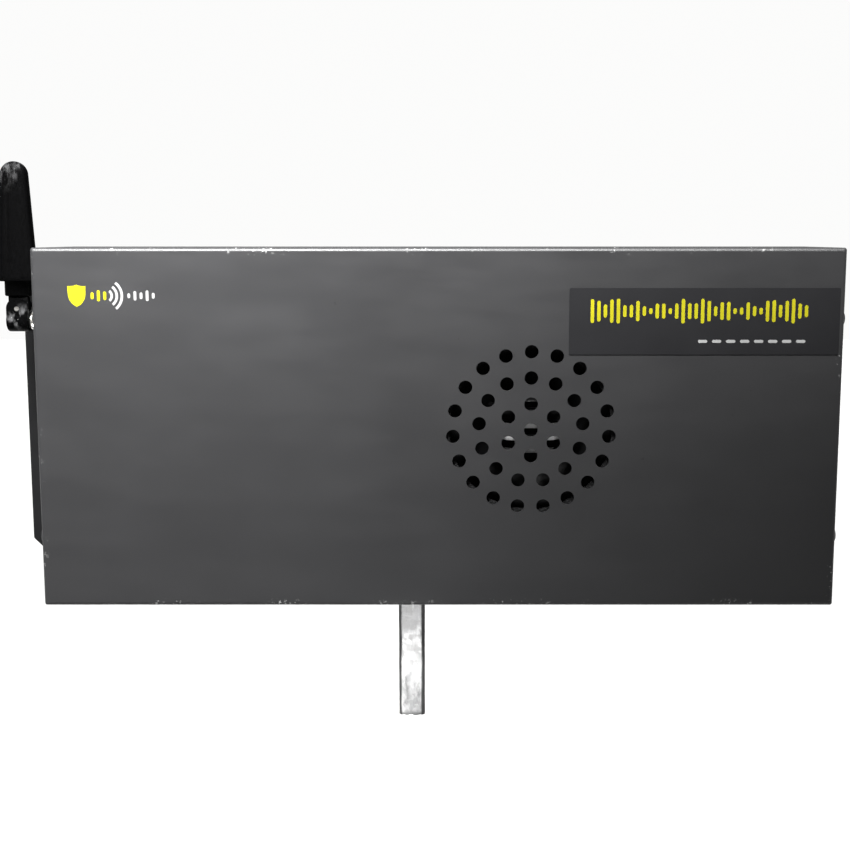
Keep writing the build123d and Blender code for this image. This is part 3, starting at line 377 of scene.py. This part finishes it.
def make_materials():
    """One material for each of the record's slots, and those that only show in detail."""
    return {
        "cover_paint": powder_coat("cover_paint", GREY, chips=1.0),
        "tray_paint": powder_coat("tray_paint", GREY, 0.48, 0.6, "base_tray"),
        "plate_paint": powder_coat("plate_paint", (0.004, 0.004, 0.0042), 0.5, specular=0.10),
        "label_film": printed("label_film", (0.0098, 0.0098, 0.0108), 0.55, 0.15),
        "yellow_ink": printed("yellow_ink", (0.29, 0.268, 0.007), 0.5, 0.15),
        "white_ink": printed("white_ink", (0.25, 0.25, 0.248), 0.5, 0.15),
        "zinc_steel": plated("zinc_steel", (0.60, 0.60, 0.58), 0.34, ALONG_Z, (0.66, 0.63, 0.52)),
        "screw_steel": plated("screw_steel", (0.62, 0.62, 0.61), 0.26, (1, 1, 1)),
        "black_screw": plated("black_screw", (0.07, 0.07, 0.073), 0.38, (1, 1, 1)),
        "galvanised": galvanised("galvanised"),
        "antenna_plastic": antenna_skin("antenna_plastic"),
        "nickel": plated("nickel", (0.80, 0.78, 0.74), 0.2, ALONG_X),
        "gold": plated("gold", (0.86, 0.66, 0.30), 0.22, ALONG_X),
        "horn_grey": moulded("horn_grey", (0.0025, 0.0025, 0.0027), 0.6, 900, 0.00004, scuff=0.03,
                             specular=0.08),
        "plug_chrome": plug_metal("plug_chrome"),
        "housing_metal": powder_coat("housing_metal", (0.05, 0.05, 0.052), 0.5),
        "magnet": moulded("magnet", (0.035, 0.035, 0.037), 0.7, 700, 0.00006),
        "diaphragm_metal": plated("diaphragm_metal", (0.78, 0.78, 0.79), 0.3, (1, 1, 1)),
        "soft_rubber": moulded("soft_rubber", (0.016, 0.016, 0.016), 0.72, 800, 0.00004, scuff=0.5),
        "foam": foam("foam"),
        "board_laminate": laminate("board_laminate"),
        "copper_track": printed("copper_track", (0.022, 0.20, 0.07), 0.35),
        "module_can": plated("module_can", (0.74, 0.74, 0.72), 0.28, ALONG_X),
        "card_socket": plated("card_socket", (0.70, 0.69, 0.66), 0.3, ALONG_Z),
        "terminal_green": moulded("terminal_green", (0.02, 0.26, 0.09), 0.45, 1300),
        "relay_blue": moulded("relay_blue", (0.012, 0.085, 0.33), 0.3, 1100, 0.00001, coat=0.3),
        "can_sleeve": moulded("can_sleeve", (0.014, 0.018, 0.035), 0.3, 900, 0.00001, coat=0.4),
        "battery_case": moulded("battery_case", (0.045, 0.048, 0.052), 0.5, 1200, 0.00004),
        "tab_metal": plated("tab_metal", (0.78, 0.74, 0.60), 0.3, ALONG_Z),
        "supply_case": plated("supply_case", (0.70, 0.70, 0.69), 0.38, ALONG_X),
        "terminal_black": moulded("terminal_black", (0.02, 0.02, 0.02), 0.5, 1300),
        "nylon": moulded("nylon", (0.62, 0.60, 0.53), 0.42, 700, 0.00002, scuff=0.15),
        "switch_case": moulded("switch_case", (0.018, 0.018, 0.018), 0.42, 1500),
        "button_red": moulded("button_red", (0.50, 0.018, 0.012), 0.35, 1200, 0.00001, coat=0.2),
        "spring_steel": plated("spring_steel", (0.62, 0.62, 0.63), 0.24, ALONG_Z),
        "coax_jacket": moulded("coax_jacket", (0.012, 0.012, 0.012), 0.5, 1800),
        "lead_red": moulded("lead_red", (0.42, 0.012, 0.010), 0.45, 1800),
        "lead_grey": moulded("lead_grey", (0.20, 0.20, 0.21), 0.5, 1800),
        "chip_black": moulded("chip_black", (0.012, 0.012, 0.013), 0.5, 2600, 0.00001),
        "part_tan": moulded("part_tan", (0.42, 0.30, 0.17), 0.5, 1600),
    }


def dress_nodes(materials):
    """Each CAD node takes the material of its slot in the record."""
    for row in frame["record"]["subparts"]:
        node = frame["nodes"][row["node"]]
        node.data.materials.clear()
        node.data.materials.append(materials[row["material_slot"]])


# ---- mesh helpers ------------------------------------------------------------------
def piece(name, mesh, material, body, smooth=False):
    """A finished mesh object that rides on a body."""
    obj = bpy.data.objects.new(name, mesh)
    bpy.context.scene.collection.objects.link(obj)
    mesh.materials.append(material)
    if smooth:
        mesh.shade_smooth()
    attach(obj, body)
    return obj


def from_bm(name, bm):
    mesh = bpy.data.meshes.new(name)
    bmesh.ops.recalc_face_normals(bm, faces=bm.faces)
    bm.to_mesh(mesh)
    bm.free()
    return mesh


def add_box(bm, low, high, bevel=0.0):
    """A closed box between two corners, with its edges rounded."""
    verts = [bm.verts.new(corner) for corner in itertools.product(*zip(low, high))]
    sides = ((0, 1, 3, 2), (4, 6, 7, 5), (0, 4, 5, 1), (2, 3, 7, 6), (0, 2, 6, 4), (1, 5, 7, 3))
    faces = [bm.faces.new([verts[i] for i in side]) for side in sides]
    if bevel:
        edges = {edge for face in faces for edge in face.edges}
        bmesh.ops.bevel(bm, geom=list(edges), offset=bevel, segments=2, profile=0.5, affect="EDGES")


def add_ring_stack(bm, rings, close_ends=True):
    """Skins a list of rings that all have the same number of points."""
    rows = [[bm.verts.new(p) for p in ring] for ring in rings]
    count = len(rows[0])
    for a, b in zip(rows, rows[1:]):
        for i in range(count):
            j = (i + 1) % count
            bm.faces.new((a[i], a[j], b[j], b[i]))
    if close_ends:
        bm.faces.new(list(reversed(rows[0])))
        bm.faces.new(rows[-1])


def turned(bm, centre, axis, profile, steps=48, radial=None):
    """A closed body turned about an axis, from (distance along it, radius) pairs.

    Where radial is given, it scales each point's radius by its place in the ring.
    """
    turn = Vector((0, 0, 1)).rotation_difference(Vector(axis)).to_matrix()
    rings = []
    for along, radius in profile:
        ring = []
        for i in range(steps):
            angle = 2 * math.pi * i / steps
            r = radius * (radial(i) if radial else 1.0)
            ring.append(Vector(centre) + turn @ Vector((r * math.cos(angle), r * math.sin(angle), along)))
        rings.append(ring)
    add_ring_stack(bm, rings)


# ---- the trigger bar ---------------------------------------------------------------
def square_ring(cx, cy, half, corner, z, ragged=None):
    """Points around a square with round corners, dense enough for a rough cut end."""
    points = []
    flat, arc = 12, 7
    reach = half - corner
    for side in range(4):
        turn = Matrix.Rotation(side * math.pi / 2, 3, "Z")
        local = [Vector((half, -reach + 2 * reach * i / flat, 0)) for i in range(flat)]
        for i in range(arc):
            angle = math.pi / 2 * i / arc
            local.append(Vector((reach + corner * math.cos(angle), reach + corner * math.sin(angle), 0)))
        points += [turn @ p for p in local]
    rise = ragged or [0.0] * len(points)
    return [Vector((cx + p.x, cy + p.y, z + r)) for p, r in zip(points, rise)]


def trigger_tube(materials):
    """Galvanised square tube, slightly wavy along its length, with a rough sawn end."""
    centre = middle("trigger_bar")
    half = (BAR_HIGH.x - BAR_LOW.x) / 2
    count = len(square_ring(0, 0, half, BAR_CORNER, 0))
    burr = [random.uniform(0, 1.0) * BURR for _ in range(count)]
    burr = [(burr[i - 1] + 2 * burr[i] + burr[(i + 1) % count]) / 4 for i in range(count)]
    levels = 46
    heights = [BAR_LOW.z + (BAR_HIGH.z - BAR_LOW.z) * i / levels for i in range(levels + 1)]
    phases = [random.uniform(0, 6.3) for _ in range(4)]

    def skin(inset):
        rings = []
        for z in heights:
            wave = sum(math.sin(z * f + p) for f, p in zip((90, 170, 260, 410), phases)) / 4
            size = half - inset - BAR_DRAWN_IN * (1 + wave)
            ragged = burr if z == heights[0] else None
            rings.append(square_ring(centre.x, centre.y, size, BAR_CORNER - inset * 0.8, z, ragged))
        return rings

    bm = bmesh.new()
    outer, inner = skin(0.0), skin(BAR_WALL)
    loop = outer + list(reversed(inner))
    add_ring_stack(bm, loop, close_ends=False)
    bmesh.ops.remove_doubles(bm, verts=bm.verts, dist=1e-7)
    verts = list(bm.verts)
    low_out, low_in = verts[:count], verts[-count:]
    for i in range(count):
        j = (i + 1) % count
        bm.faces.new((low_in[i], low_in[j], low_out[j], low_out[i]))
    tube = piece("trigger_tube", from_bm("trigger_tube", bm), materials["galvanised"], "trigger",
                 True)
    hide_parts("trigger_bar")
    weld_bead(materials, centre, half, heights)


def weld_bead(materials, centre, half, heights):
    """The seam down the tube's back."""
    seam_y = centre.y + half - 0.35 * MM
    rings = []
    for i, z in enumerate(heights[1:-1]):
        wide = 0.75 * MM * (1 + 0.18 * math.sin(i * 1.9))
        high = 0.30 * MM * (1 + 0.2 * math.sin(i * 2.7))
        angles = [math.pi * k / 6 for k in range(7)]
        top = [Vector((centre.x + wide * math.cos(a), seam_y + high * math.sin(a), z)) for a in angles]
        rings.append(top + [Vector((centre.x, seam_y - 0.3 * MM, z))])
    bm = bmesh.new()
    add_ring_stack(bm, rings)
    piece("weld_bead", from_bm("weld_bead", bm), materials["galvanised"], "trigger", True)


# ---- the antenna -------------------------------------------------------------------
def blade_section(pin, at, half_w, half_t, groove=0.0):
    """One closed section of the blade: crowned broad faces, round edges and a groove at its left."""
    ring = []
    count = 88
    for i in range(count):
        angle = 2 * math.pi * i / count
        c, s = math.cos(angle), math.sin(angle)
        x = half_w * math.copysign(abs(c) ** 0.62, c)
        y = half_t * math.copysign(abs(s) ** 0.50, s)
        y *= 1 - 0.10 * (x / half_w) ** 2
        if groove and s < 0:
            y += groove * math.exp(-((x + 0.42 * half_w) / (0.55 * MM)) ** 2)
        ring.append(pin + Vector((x, y, at)))
    return ring


def antenna_body(materials):
    """The blade: stepped shoulders, tapering crowned body, and a tip that rounds both ways."""
    pin = Vector(JOINTS["antenna_tilt"]["pos_m"])
    body_start = BLADE_SHOULDER + 0.5 * MM
    rings = [
        blade_section(pin, BLADE_FOOT, BLADE_NECK * 0.93, BLADE_THICK * 0.80),
        blade_section(pin, BLADE_FOOT + 0.5 * MM, BLADE_NECK, BLADE_THICK * 0.88),
        blade_section(pin, BLADE_SHOULDER - 0.05 * MM, BLADE_NECK, BLADE_THICK * 0.88),
        blade_section(pin, BLADE_SHOULDER, BLADE_WIDE * 0.965, BLADE_THICK * 0.96),
        blade_section(pin, body_start, BLADE_WIDE * 0.995, BLADE_THICK),
    ]
    steps = 22
    straight = BLADE_LENGTH - BLADE_NARROW
    for i in range(1, steps + 1):
        share = i / steps
        at = body_start + (straight - body_start) * share
        half_w = BLADE_WIDE + (BLADE_NARROW - BLADE_WIDE) * share
        fade = min(1.0, share * 6, (1 - share) * 6)
        rings.append(blade_section(pin, at, half_w, BLADE_THICK * (1 - 0.12 * share), 0.45 * MM * fade))
    tips = 14
    for i in range(1, tips + 1):
        angle = math.pi / 2 * i / tips
        at = straight + BLADE_NARROW * math.sin(angle)
        half_w = BLADE_NARROW * max(0.03, math.cos(angle))
        half_t = BLADE_THICK * 0.88 * max(0.05, math.cos(angle) ** 0.6)
        rings.append(blade_section(pin, at, half_w, half_t))
    bm = bmesh.new()
    add_ring_stack(bm, rings)
    add_tongue(bm, pin)
    blade = piece("antenna_body", from_bm("antenna_body", bm), materials["antenna_plastic"], "antenna",
                  True)
    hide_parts("antenna_blade")


def add_tongue(bm, pin):
    """Flat tongue with a round end that the hinge pin passes through."""
    top = BLADE_FOOT + 0.6 * MM
    outline = [(TONGUE_R, top), (-TONGUE_R, top)]
    steps = 24
    for i in range(steps + 1):
        angle = math.pi + math.pi * i / steps
        outline.append((TONGUE_R * math.cos(angle), TONGUE_R * math.sin(angle)))
    edge = TONGUE_HALF - 0.3 * MM
    rings = []
    for y, inset in ((-TONGUE_HALF, 0.93), (-edge, 1.0), (edge, 1.0), (TONGUE_HALF, 0.93)):
        rings.append([pin + Vector((x * inset, y, z * inset)) for x, z in outline])
    add_ring_stack(bm, rings)


def knurled_nut(materials):
    """Coupling nut of the antenna with a straight knurl, a groove and a hexagon."""
    low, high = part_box("antenna_coupling_nut")
    centre = (low + high) / 2
    start = Vector((low.x, centre.y, centre.z))
    axis = (1, 0, 0)
    collar_end = 0.8 * MM
    hex_r = NUT_HEX / 2 / math.cos(math.pi / 6)
    length = high.x - low.x
    bm = bmesh.new()
    collar = [(0.0, NUT_BORE), (0.0, NUT_RIM), (0.4 * MM, NUT_GRIP), (collar_end, NUT_GRIP),
              (collar_end, NUT_BORE)]
    turned(bm, start, axis, collar, 64)
    grip = [(collar_end, NUT_BORE), (collar_end, NUT_GRIP), (1.0 * MM, NUT_CREST),
            (NUT_GRIP_END - 0.2 * MM, NUT_CREST), (NUT_GRIP_END, NUT_GRIP), (NUT_GRIP_END, NUT_BORE)]
    turned(bm, start, axis, grip, 160, lambda k: 1.0 if k % 4 in (0, 1) else 0.945)
    groove = [(NUT_GRIP_END, NUT_BORE), (NUT_GRIP_END, NUT_RIM), (NUT_HEX_START, NUT_RIM),
              (NUT_HEX_START, NUT_BORE)]
    turned(bm, start, axis, groove, 64)
    nose = [(NUT_HEX_START, hex_r * 0.93), (NUT_HEX_START + 0.3 * MM, hex_r),
            (length - 0.3 * MM, hex_r), (length, hex_r * 0.93)]
    turned(bm, start, axis, nose, 6)
    nut = piece("knurled_nut", from_bm("knurled_nut", bm), materials["nickel"], "root")
    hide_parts("antenna_coupling_nut")


# ---- the return spring -------------------------------------------------------------
def spring_coil(materials):
    """Helical spring whose end turns lie flat; on the real part it shortens as the bar rises."""
    low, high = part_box("return_spring")
    centre = (low + high) / 2
    radius = (high.x - low.x) / 2 - WIRE_R
    per_turn, around = 36, 10
    total = SPRING_TURNS * per_turn
    z0, z1 = low.z + WIRE_R, high.z - WIRE_R
    flat = 0.54 * per_turn                  # steps at each end that don't climb
    points = []
    for i in range(total + 1):
        share = min(1.0, max(0.0, (i - flat) / (total - 2 * flat)))
        angle = 2 * math.pi * i / per_turn
        across = Vector((radius * math.cos(angle), radius * math.sin(angle), 0))
        points.append(Vector((centre.x, centre.y, z0 + (z1 - z0) * share)) + across)
    rings = []
    for i, point in enumerate(points):
        ahead = points[min(i + 1, total)] - points[max(i - 1, 0)]
        ahead.normalize()
        outward = Vector((point.x - centre.x, point.y - centre.y, 0)).normalized()
        side = ahead.cross(outward).normalized()
        rings.append([point + WIRE_R * (math.cos(a) * outward + math.sin(a) * side)
                      for a in (2 * math.pi * k / around for k in range(around))])
    bm = bmesh.new()
    add_ring_stack(bm, rings)
    coil = piece("spring_coil", from_bm("spring_coil", bm), materials["spring_steel"], "root",
                 True)
    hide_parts("return_spring")
    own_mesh(coil)


# ---- print on the front ------------------------------------------------------------
def flat_shape(bm, outline, y):
    """A thin closed plate from an outline of (x, z) points, standing INK proud of y."""
    back = [bm.verts.new((x, y, z)) for x, z in outline]
    front = [bm.verts.new((x, y - INK, z)) for x, z in outline]
    bm.faces.new(front)
    bm.faces.new(list(reversed(back)))
    for i in range(len(outline)):
        j = (i + 1) % len(outline)
        bm.faces.new((front[i], back[i], back[j], front[j]))


def bar_outline(x, z0, z1, width):
    """A bar with round ends."""
    half = width / 2
    points = []
    for centre_z, start in ((z1 - half, 0.0), (z0 + half, math.pi)):
        for i in range(9):
            angle = start + math.pi * i / 8
            points.append((x + half * math.cos(angle), centre_z + half * math.sin(angle)))
    return points


def level_marks(materials):
    """Generic sound-level bars in yellow over a short row of white dashes, in place of words."""
    width = PANEL_HIGH.x - PANEL_LOW.x
    height = PANEL_HIGH.z - PANEL_LOW.z
    left, right = PANEL_LOW.x + 0.085 * width, PANEL_LOW.x + 0.875 * width
    middle_z = PANEL_LOW.z + 0.655 * height
    reach = 0.185 * height
    bm = bmesh.new()
    for i in range(LEVELS):
        share = i / (LEVELS - 1)
        swell = 0.62 + 0.22 * math.sin(share * 15.0 + 0.4) + 0.30 * math.sin(share * 61.0 + 1.1)
        half = reach * min(1.0, max(0.24, swell))
        x = left + (right - left) * share
        flat_shape(bm, bar_outline(x, middle_z - half, middle_z + half, LEVEL_WIDTH), PANEL_LOW.y)
    piece("level_bars", from_bm("level_bars", bm), materials["yellow_ink"], "cover")
    bm = bmesh.new()
    z = PANEL_LOW.z + 0.20 * height
    for i in range(DASHES):
        x = right - DASH - (DASHES - 1 - i) * (DASH + DASH_GAP)
        outline = [(px, pz) for pz, px in bar_outline(z, x, x + DASH, DASH_WIDTH)]
        flat_shape(bm, list(reversed(outline)), PANEL_LOW.y)
    piece("level_dashes", from_bm("level_dashes", bm), materials["white_ink"], "cover")


def arc_outline(cx, cz, radius, width, start, end, steps=20):
    """A bent band about (cx, cz)."""
    points = []
    for r, order in ((radius + width / 2, range(steps + 1)), (radius - width / 2, range(steps, -1, -1))):
        for i in order:
            angle = math.radians(start + (end - start) * i / steps)
            points.append((cx + r * math.cos(angle), cz + r * math.sin(angle)))
    return points


def shield_outline(cx, cz, half_w, half_h):
    """A plain shield: a level top with a small rise in the middle, and sides that meet in a point."""
    right = [(0.0, 1.0), (0.35, 0.90), (0.80, 0.86), (1.0, 0.88), (1.0, 0.35), (0.97, 0.0), (0.86, -0.32),
             (0.66, -0.60), (0.38, -0.83), (0.0, -1.0)]
    left = [(-x, z) for x, z in reversed(right[1:-1])]
    return [(cx + x * half_w, cz + z * half_h) for x, z in right + left]


def mark_bars(bm, heights, start, pitch, width):
    """A row of upright bars beside the mark, with sizes in millimetres."""
    for i, tall in enumerate(heights):
        x, half = MARK_X + (start + pitch * i) * MM, tall * MM / 2
        flat_shape(bm, bar_outline(x, MARK_Z - half, MARK_Z + half, width * MM), FACE_Y)


def front_mark(materials):
    """Small plain mark at the upper left: a yellow shield and bars, then white sound arcs and bars."""
    bm = bmesh.new()
    flat_shape(bm, shield_outline(MARK_X, MARK_Z, 4.4 * MM, 5.4 * MM), FACE_Y)
    mark_bars(bm, (3.4, 5.4, 4.2), 7.6, 3.1, 1.5)
    piece("mark_yellow", from_bm("mark_yellow", bm), materials["yellow_ink"], "cover")
    bm = bmesh.new()
    for i in range(3):
        radius = (3.0 + 2.5 * i) * MM
        flat_shape(bm, arc_outline(MARK_X + 14.2 * MM, MARK_Z, radius, 1.25 * MM, -52, 52), FACE_Y)
    mark_bars(bm, (2.4, 4.6, 3.2, 5.2, 2.8), 25.6, 3.0, 1.35)
    piece("mark_white", from_bm("mark_white", bm), materials["white_ink"], "cover")


# ---- detail on the board -----------------------------------------------------------
def covered_areas(*nodes):
    """Areas of the board that larger parts cover, as centre and half sizes."""
    areas = []
    for node in nodes:
        low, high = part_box(node)
        areas.append(((low.x + high.x) / 2, (low.z + high.z) / 2,
                      (high.x - low.x) / 2, (high.z - low.z) / 2))
    return areas


def leg_row(bm, x, z, half_x, half_z, upright):
    """Legs along the two opposite sides of a chip."""
    face = BOARD_LOW.y
    half_leg = 0.2 * MM
    along, out = (half_x, half_z) if upright else (half_z, half_x)
    count = int(2 * along / CHIP_PITCH) - 1
    for side in (-1, 1):
        near, far = sorted((side * out, side * (out + CHIP_LEG)))
        for i in range(count):
            at = (i - (count - 1) / 2) * CHIP_PITCH
            if upright:
                low, high = (x + at - half_leg, z + near), (x + at + half_leg, z + far)
            else:
                low, high = (x + near, z + at - half_leg), (x + far, z + at + half_leg)
            add_box(bm, (low[0], face - 0.45 * MM, low[1]), (high[0], face - 0.01 * MM, high[1]))


def board_chips(materials):
    """Chips with legs on all four sides."""
    face = BOARD_LOW.y
    body, legs = bmesh.new(), bmesh.new()
    for x, z, half_x, half_z in CHIPS:
        low = (x - half_x, face - CHIP_HEIGHT, z - half_z)
        high = (x + half_x, face - 0.25 * MM, z + half_z)
        add_box(body, low, high, 0.15 * MM)
        for upright in (True, False):
            leg_row(legs, x, z, half_x, half_z, upright)
    piece("board_chips", from_bm("board_chips", body), materials["chip_black"], "root")
    piece("chip_legs", from_bm("chip_legs", legs), materials["module_can"], "root")


def small_parts(materials):
    """Small two-ended parts strewn over what the larger ones leave free."""
    face = BOARD_LOW.y
    taken = CHIPS + covered_areas("gsm_module", "sim_socket", "terminal_block", "relays")
    room = 4 * MM
    half_l, half_w = 1.1 * MM, 0.65 * MM
    small, ends = bmesh.new(), bmesh.new()
    for _ in range(46):
        x = random.uniform(BOARD_LOW.x + 12 * MM, BOARD_HIGH.x - 8 * MM)
        z = random.uniform(BOARD_LOW.z + 17 * MM, BOARD_HIGH.z - 6 * MM)
        if any(abs(x - cx) < hx + room and abs(z - cz) < hz + room for cx, cz, hx, hz in taken):
            continue
        long_x = random.random() < 0.5
        hx, hz = (half_l, half_w) if long_x else (half_w, half_l)
        core_x, core_z = hx * 0.72, hz * 0.98
        add_box(small, (x - core_x, face - 0.6 * MM, z - core_z), (x + core_x, face - 0.02 * MM, z + core_z))
        for side in (-1, 1):
            dx, dz = (side * hx * 0.84, 0) if long_x else (0, side * hz * 0.84)
            ex, ez = (hx * 0.17, hz) if long_x else (hx, hz * 0.17)
            low = (x + dx - ex, face - 0.63 * MM, z + dz - ez)
            high = (x + dx + ex, face - 0.01 * MM, z + dz + ez)
            add_box(ends, low, high)
    piece("small_parts", from_bm("small_parts", small), materials["part_tan"], "root")
    piece("part_ends", from_bm("part_ends", ends), materials["module_can"], "root")


def board_tracks(materials):
    """Copper tracks that run across and then up."""
    y0, y1 = BOARD_LOW.y - 0.05 * MM, BOARD_LOW.y + 0.02 * MM
    tracks = bmesh.new()
    for _ in range(60):
        x = random.uniform(BOARD_LOW.x + 8 * MM, BOARD_HIGH.x - 22 * MM)
        z = random.uniform(BOARD_LOW.z + 4 * MM, BOARD_HIGH.z - 14 * MM)
        run, rise = random.uniform(5, 18) * MM, random.uniform(3, 10) * MM
        half = random.choice((0.15, 0.15, 0.3)) * MM
        top = min(z + rise, BOARD_HIGH.z - 4 * MM)
        add_box(tracks, (x, y0, z - half), (x + run, y1, z + half))
        add_box(tracks, (x + run - half, y0, z), (x + run + half, y1, top))
    piece("board_tracks", from_bm("board_tracks", tracks), materials["copper_track"], "root")


def terminal_screws(materials):
    """Slotted screws down in the wells of the two terminal strips."""
    bm = bmesh.new()
    low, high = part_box("terminal_block")
    wells = 8
    pitch = (high.x - low.x) / wells
    z, y = high.z - 4.5 * MM, low.y + 4.0 * MM
    for i in range(wells):
        x = low.x + pitch * (i + 0.5)
        turned(bm, (x, y, z), (0, -1, 0), [(0, 1.5 * MM), (1.0 * MM, 1.5 * MM), (1.25 * MM, 1.2 * MM)], 28)
        add_box(bm, (x - 1.25 * MM, y - 1.35 * MM, z - 0.1 * MM), (x - 0.1 * MM, y - 1.2 * MM, z + 0.6 * MM))
    low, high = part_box("supply_terminals")
    x, y = (low.x + high.x) / 2, low.y + 3.0 * MM
    for i in range(5):
        z = (8 * i - 20) * MM
        turned(bm, (x, y, z), (0, -1, 0), [(0, 2.2 * MM), (1.6 * MM, 2.2 * MM), (2.1 * MM, 1.7 * MM)], 32)
    piece("terminal_screws", from_bm("terminal_screws", bm), materials["screw_steel"], "root")


def battery_detail(materials):
    """Two plain pale bands on the battery, with a red stripe and dot."""
    low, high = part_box("battery")
    z0, z1 = low.z + 7 * MM, high.z - 7 * MM
    y0, y1 = low.y - 0.15 * MM, low.y + 0.05 * MM
    bm = bmesh.new()
    for x0, x1 in ((low.x + 26 * MM, low.x + 78 * MM), (low.x + 112 * MM, high.x - 12 * MM)):
        add_box(bm, (x0, y0, z0), (x1, y1, z1), 0.05 * MM)
    piece("battery_band", from_bm("battery_band", bm), materials["white_ink"], "root")
    bm = bmesh.new()
    stripe_low = (low.x + 30 * MM, low.y - 0.25 * MM, z1 - 5 * MM)
    stripe_high = (low.x + 74 * MM, low.y - 0.1 * MM, z1 - 2 * MM)
    add_box(bm, stripe_low, stripe_high)
    dot = [(0, 2.0 * MM), (0.35 * MM, 2.0 * MM), (0.45 * MM, 1.8 * MM)]
    turned(bm, (low.x + 15 * MM, low.y + 0.1 * MM, high.z - 9 * MM), (0, -1, 0), dot, 28)
    piece("battery_stripe", from_bm("battery_stripe", bm), materials["button_red"], "root")


# ---- stage -------------------------------------------------------------------------
def lamp(name, place_at, aim, size, watts, spread_deg, size_y=None):
    """Area lamp that points at aim and lights only the cone within its spread."""
    light = bpy.data.lights.new(name, "AREA")
    light.energy = watts
    light.size = size
    if size_y:
        light.shape = "RECTANGLE"
        light.size_y = size_y
    light.spread = math.radians(spread_deg)
    obj = bpy.data.objects.new(name, light)
    obj.location = place_at
    obj.rotation_euler = (Vector(aim) - Vector(place_at)).to_track_quat("-Z", "Y").to_euler()
    bpy.context.scene.collection.objects.link(obj)


def pale_world():
    """Pale all round to look at, and dimmer as a light so the dark face stays dark."""
    world = bpy.data.worlds.new("pale_world")
    bpy.context.scene.world = world
    world.use_nodes = True
    tree = world.node_tree
    back = tree.nodes["Background"]
    direction = add(tree, "TexCoord").outputs["Generated"]
    height = add(tree, "SeparateXYZ", {"Vector": direction}).outputs["Z"]
    dim = mix(tree, spread(tree, height, 0.1, 0.95), (0.10, 0.10, 0.1015), (0.45, 0.45, 0.45))
    seen = add(tree, "LightPath").outputs["Is Camera Ray"]
    tree.links.new(mix(tree, seen, dim, (0.97, 0.97, 0.965)), back.inputs["Color"])
    back.inputs["Strength"].default_value = 1.0


def floor_plane():
    """Plain pale floor, well below the part."""
    bm = bmesh.new()
    turns = ((-1, -1), (1, -1), (1, 1), (-1, 1))
    bm.faces.new([bm.verts.new((sx * FLOOR_REACH, sy * FLOOR_REACH, FLOOR_Z)) for sx, sy in turns])
    obj = bpy.data.objects.new("floor", from_bm("floor", bm))
    bpy.context.scene.collection.objects.link(obj)
    material, tree, shader = new_material("floor", specular=0.2)
    where = place(tree)
    base = mix(tree, noise(tree, where, 3, 4), (0.80, 0.80, 0.80), (0.84, 0.84, 0.835))
    drive(tree, shader, base, spread(tree, noise(tree, where, 40, 3), 0.3, 0.7, 0.55, 0.7))
    obj.data.materials.append(material)


def lights():
    """One soft lamp high on the left, a strip over the box, a wash for the floor behind, and a small
    one for the part of the bar in the box's shadow."""
    lamp("key", (-0.25, -0.55, 0.75), (-0.18, FACE_Y, 0.165), 0.40, 3.4, 34)
    lamp("strip", (-0.10, -0.30, 0.42), (-0.10, FACE_Y, 0.13), 0.70, 1.05, 26, size_y=0.08)
    lamp("floor_wash", (0.0, 4.1, 1.9), (0.0, 4.1, FLOOR_Z), 10.0, 307.0, 110, size_y=8.0)
    lamp("bar_fill", (-0.03, -0.46, -0.34), (BAR_LOW.x, BAR_LOW.y, -0.112), 0.04, 0.0042, 8)


def camera():
    """Straight on from the front, a little above the middle of the box."""
    rise = math.radians(CAMERA_RISE)
    data = bpy.data.cameras.new("camera")
    data.lens = CAMERA_LENS
    data.sensor_width = 36.0
    data.shift_x = CAMERA_SHIFT_X
    data.shift_y = CAMERA_SHIFT_Y
    data.clip_start = 0.01
    obj = bpy.data.objects.new("camera", data)
    target = Vector((0, FACE_Y, 0))
    obj.location = target + CAMERA_DISTANCE * Vector((0, -math.cos(rise), math.sin(rise)))
    obj.rotation_euler = (target - obj.location).to_track_quat("-Z", "Y").to_euler()
    bpy.context.scene.collection.objects.link(obj)
    bpy.context.scene.camera = obj


def look():
    view = bpy.context.scene.view_settings
    view.view_transform = "Standard"
    view.look = "None"


def main():
    materials = make_materials()
    dress_nodes(materials)
    trigger_tube(materials)
    antenna_body(materials)
    knurled_nut(materials)
    spring_coil(materials)
    level_marks(materials)
    front_mark(materials)
    board_chips(materials)
    small_parts(materials)
    board_tracks(materials)
    terminal_screws(materials)
    battery_detail(materials)
    pale_world()
    floor_plane()
    lights()
    camera()
    look()


main()
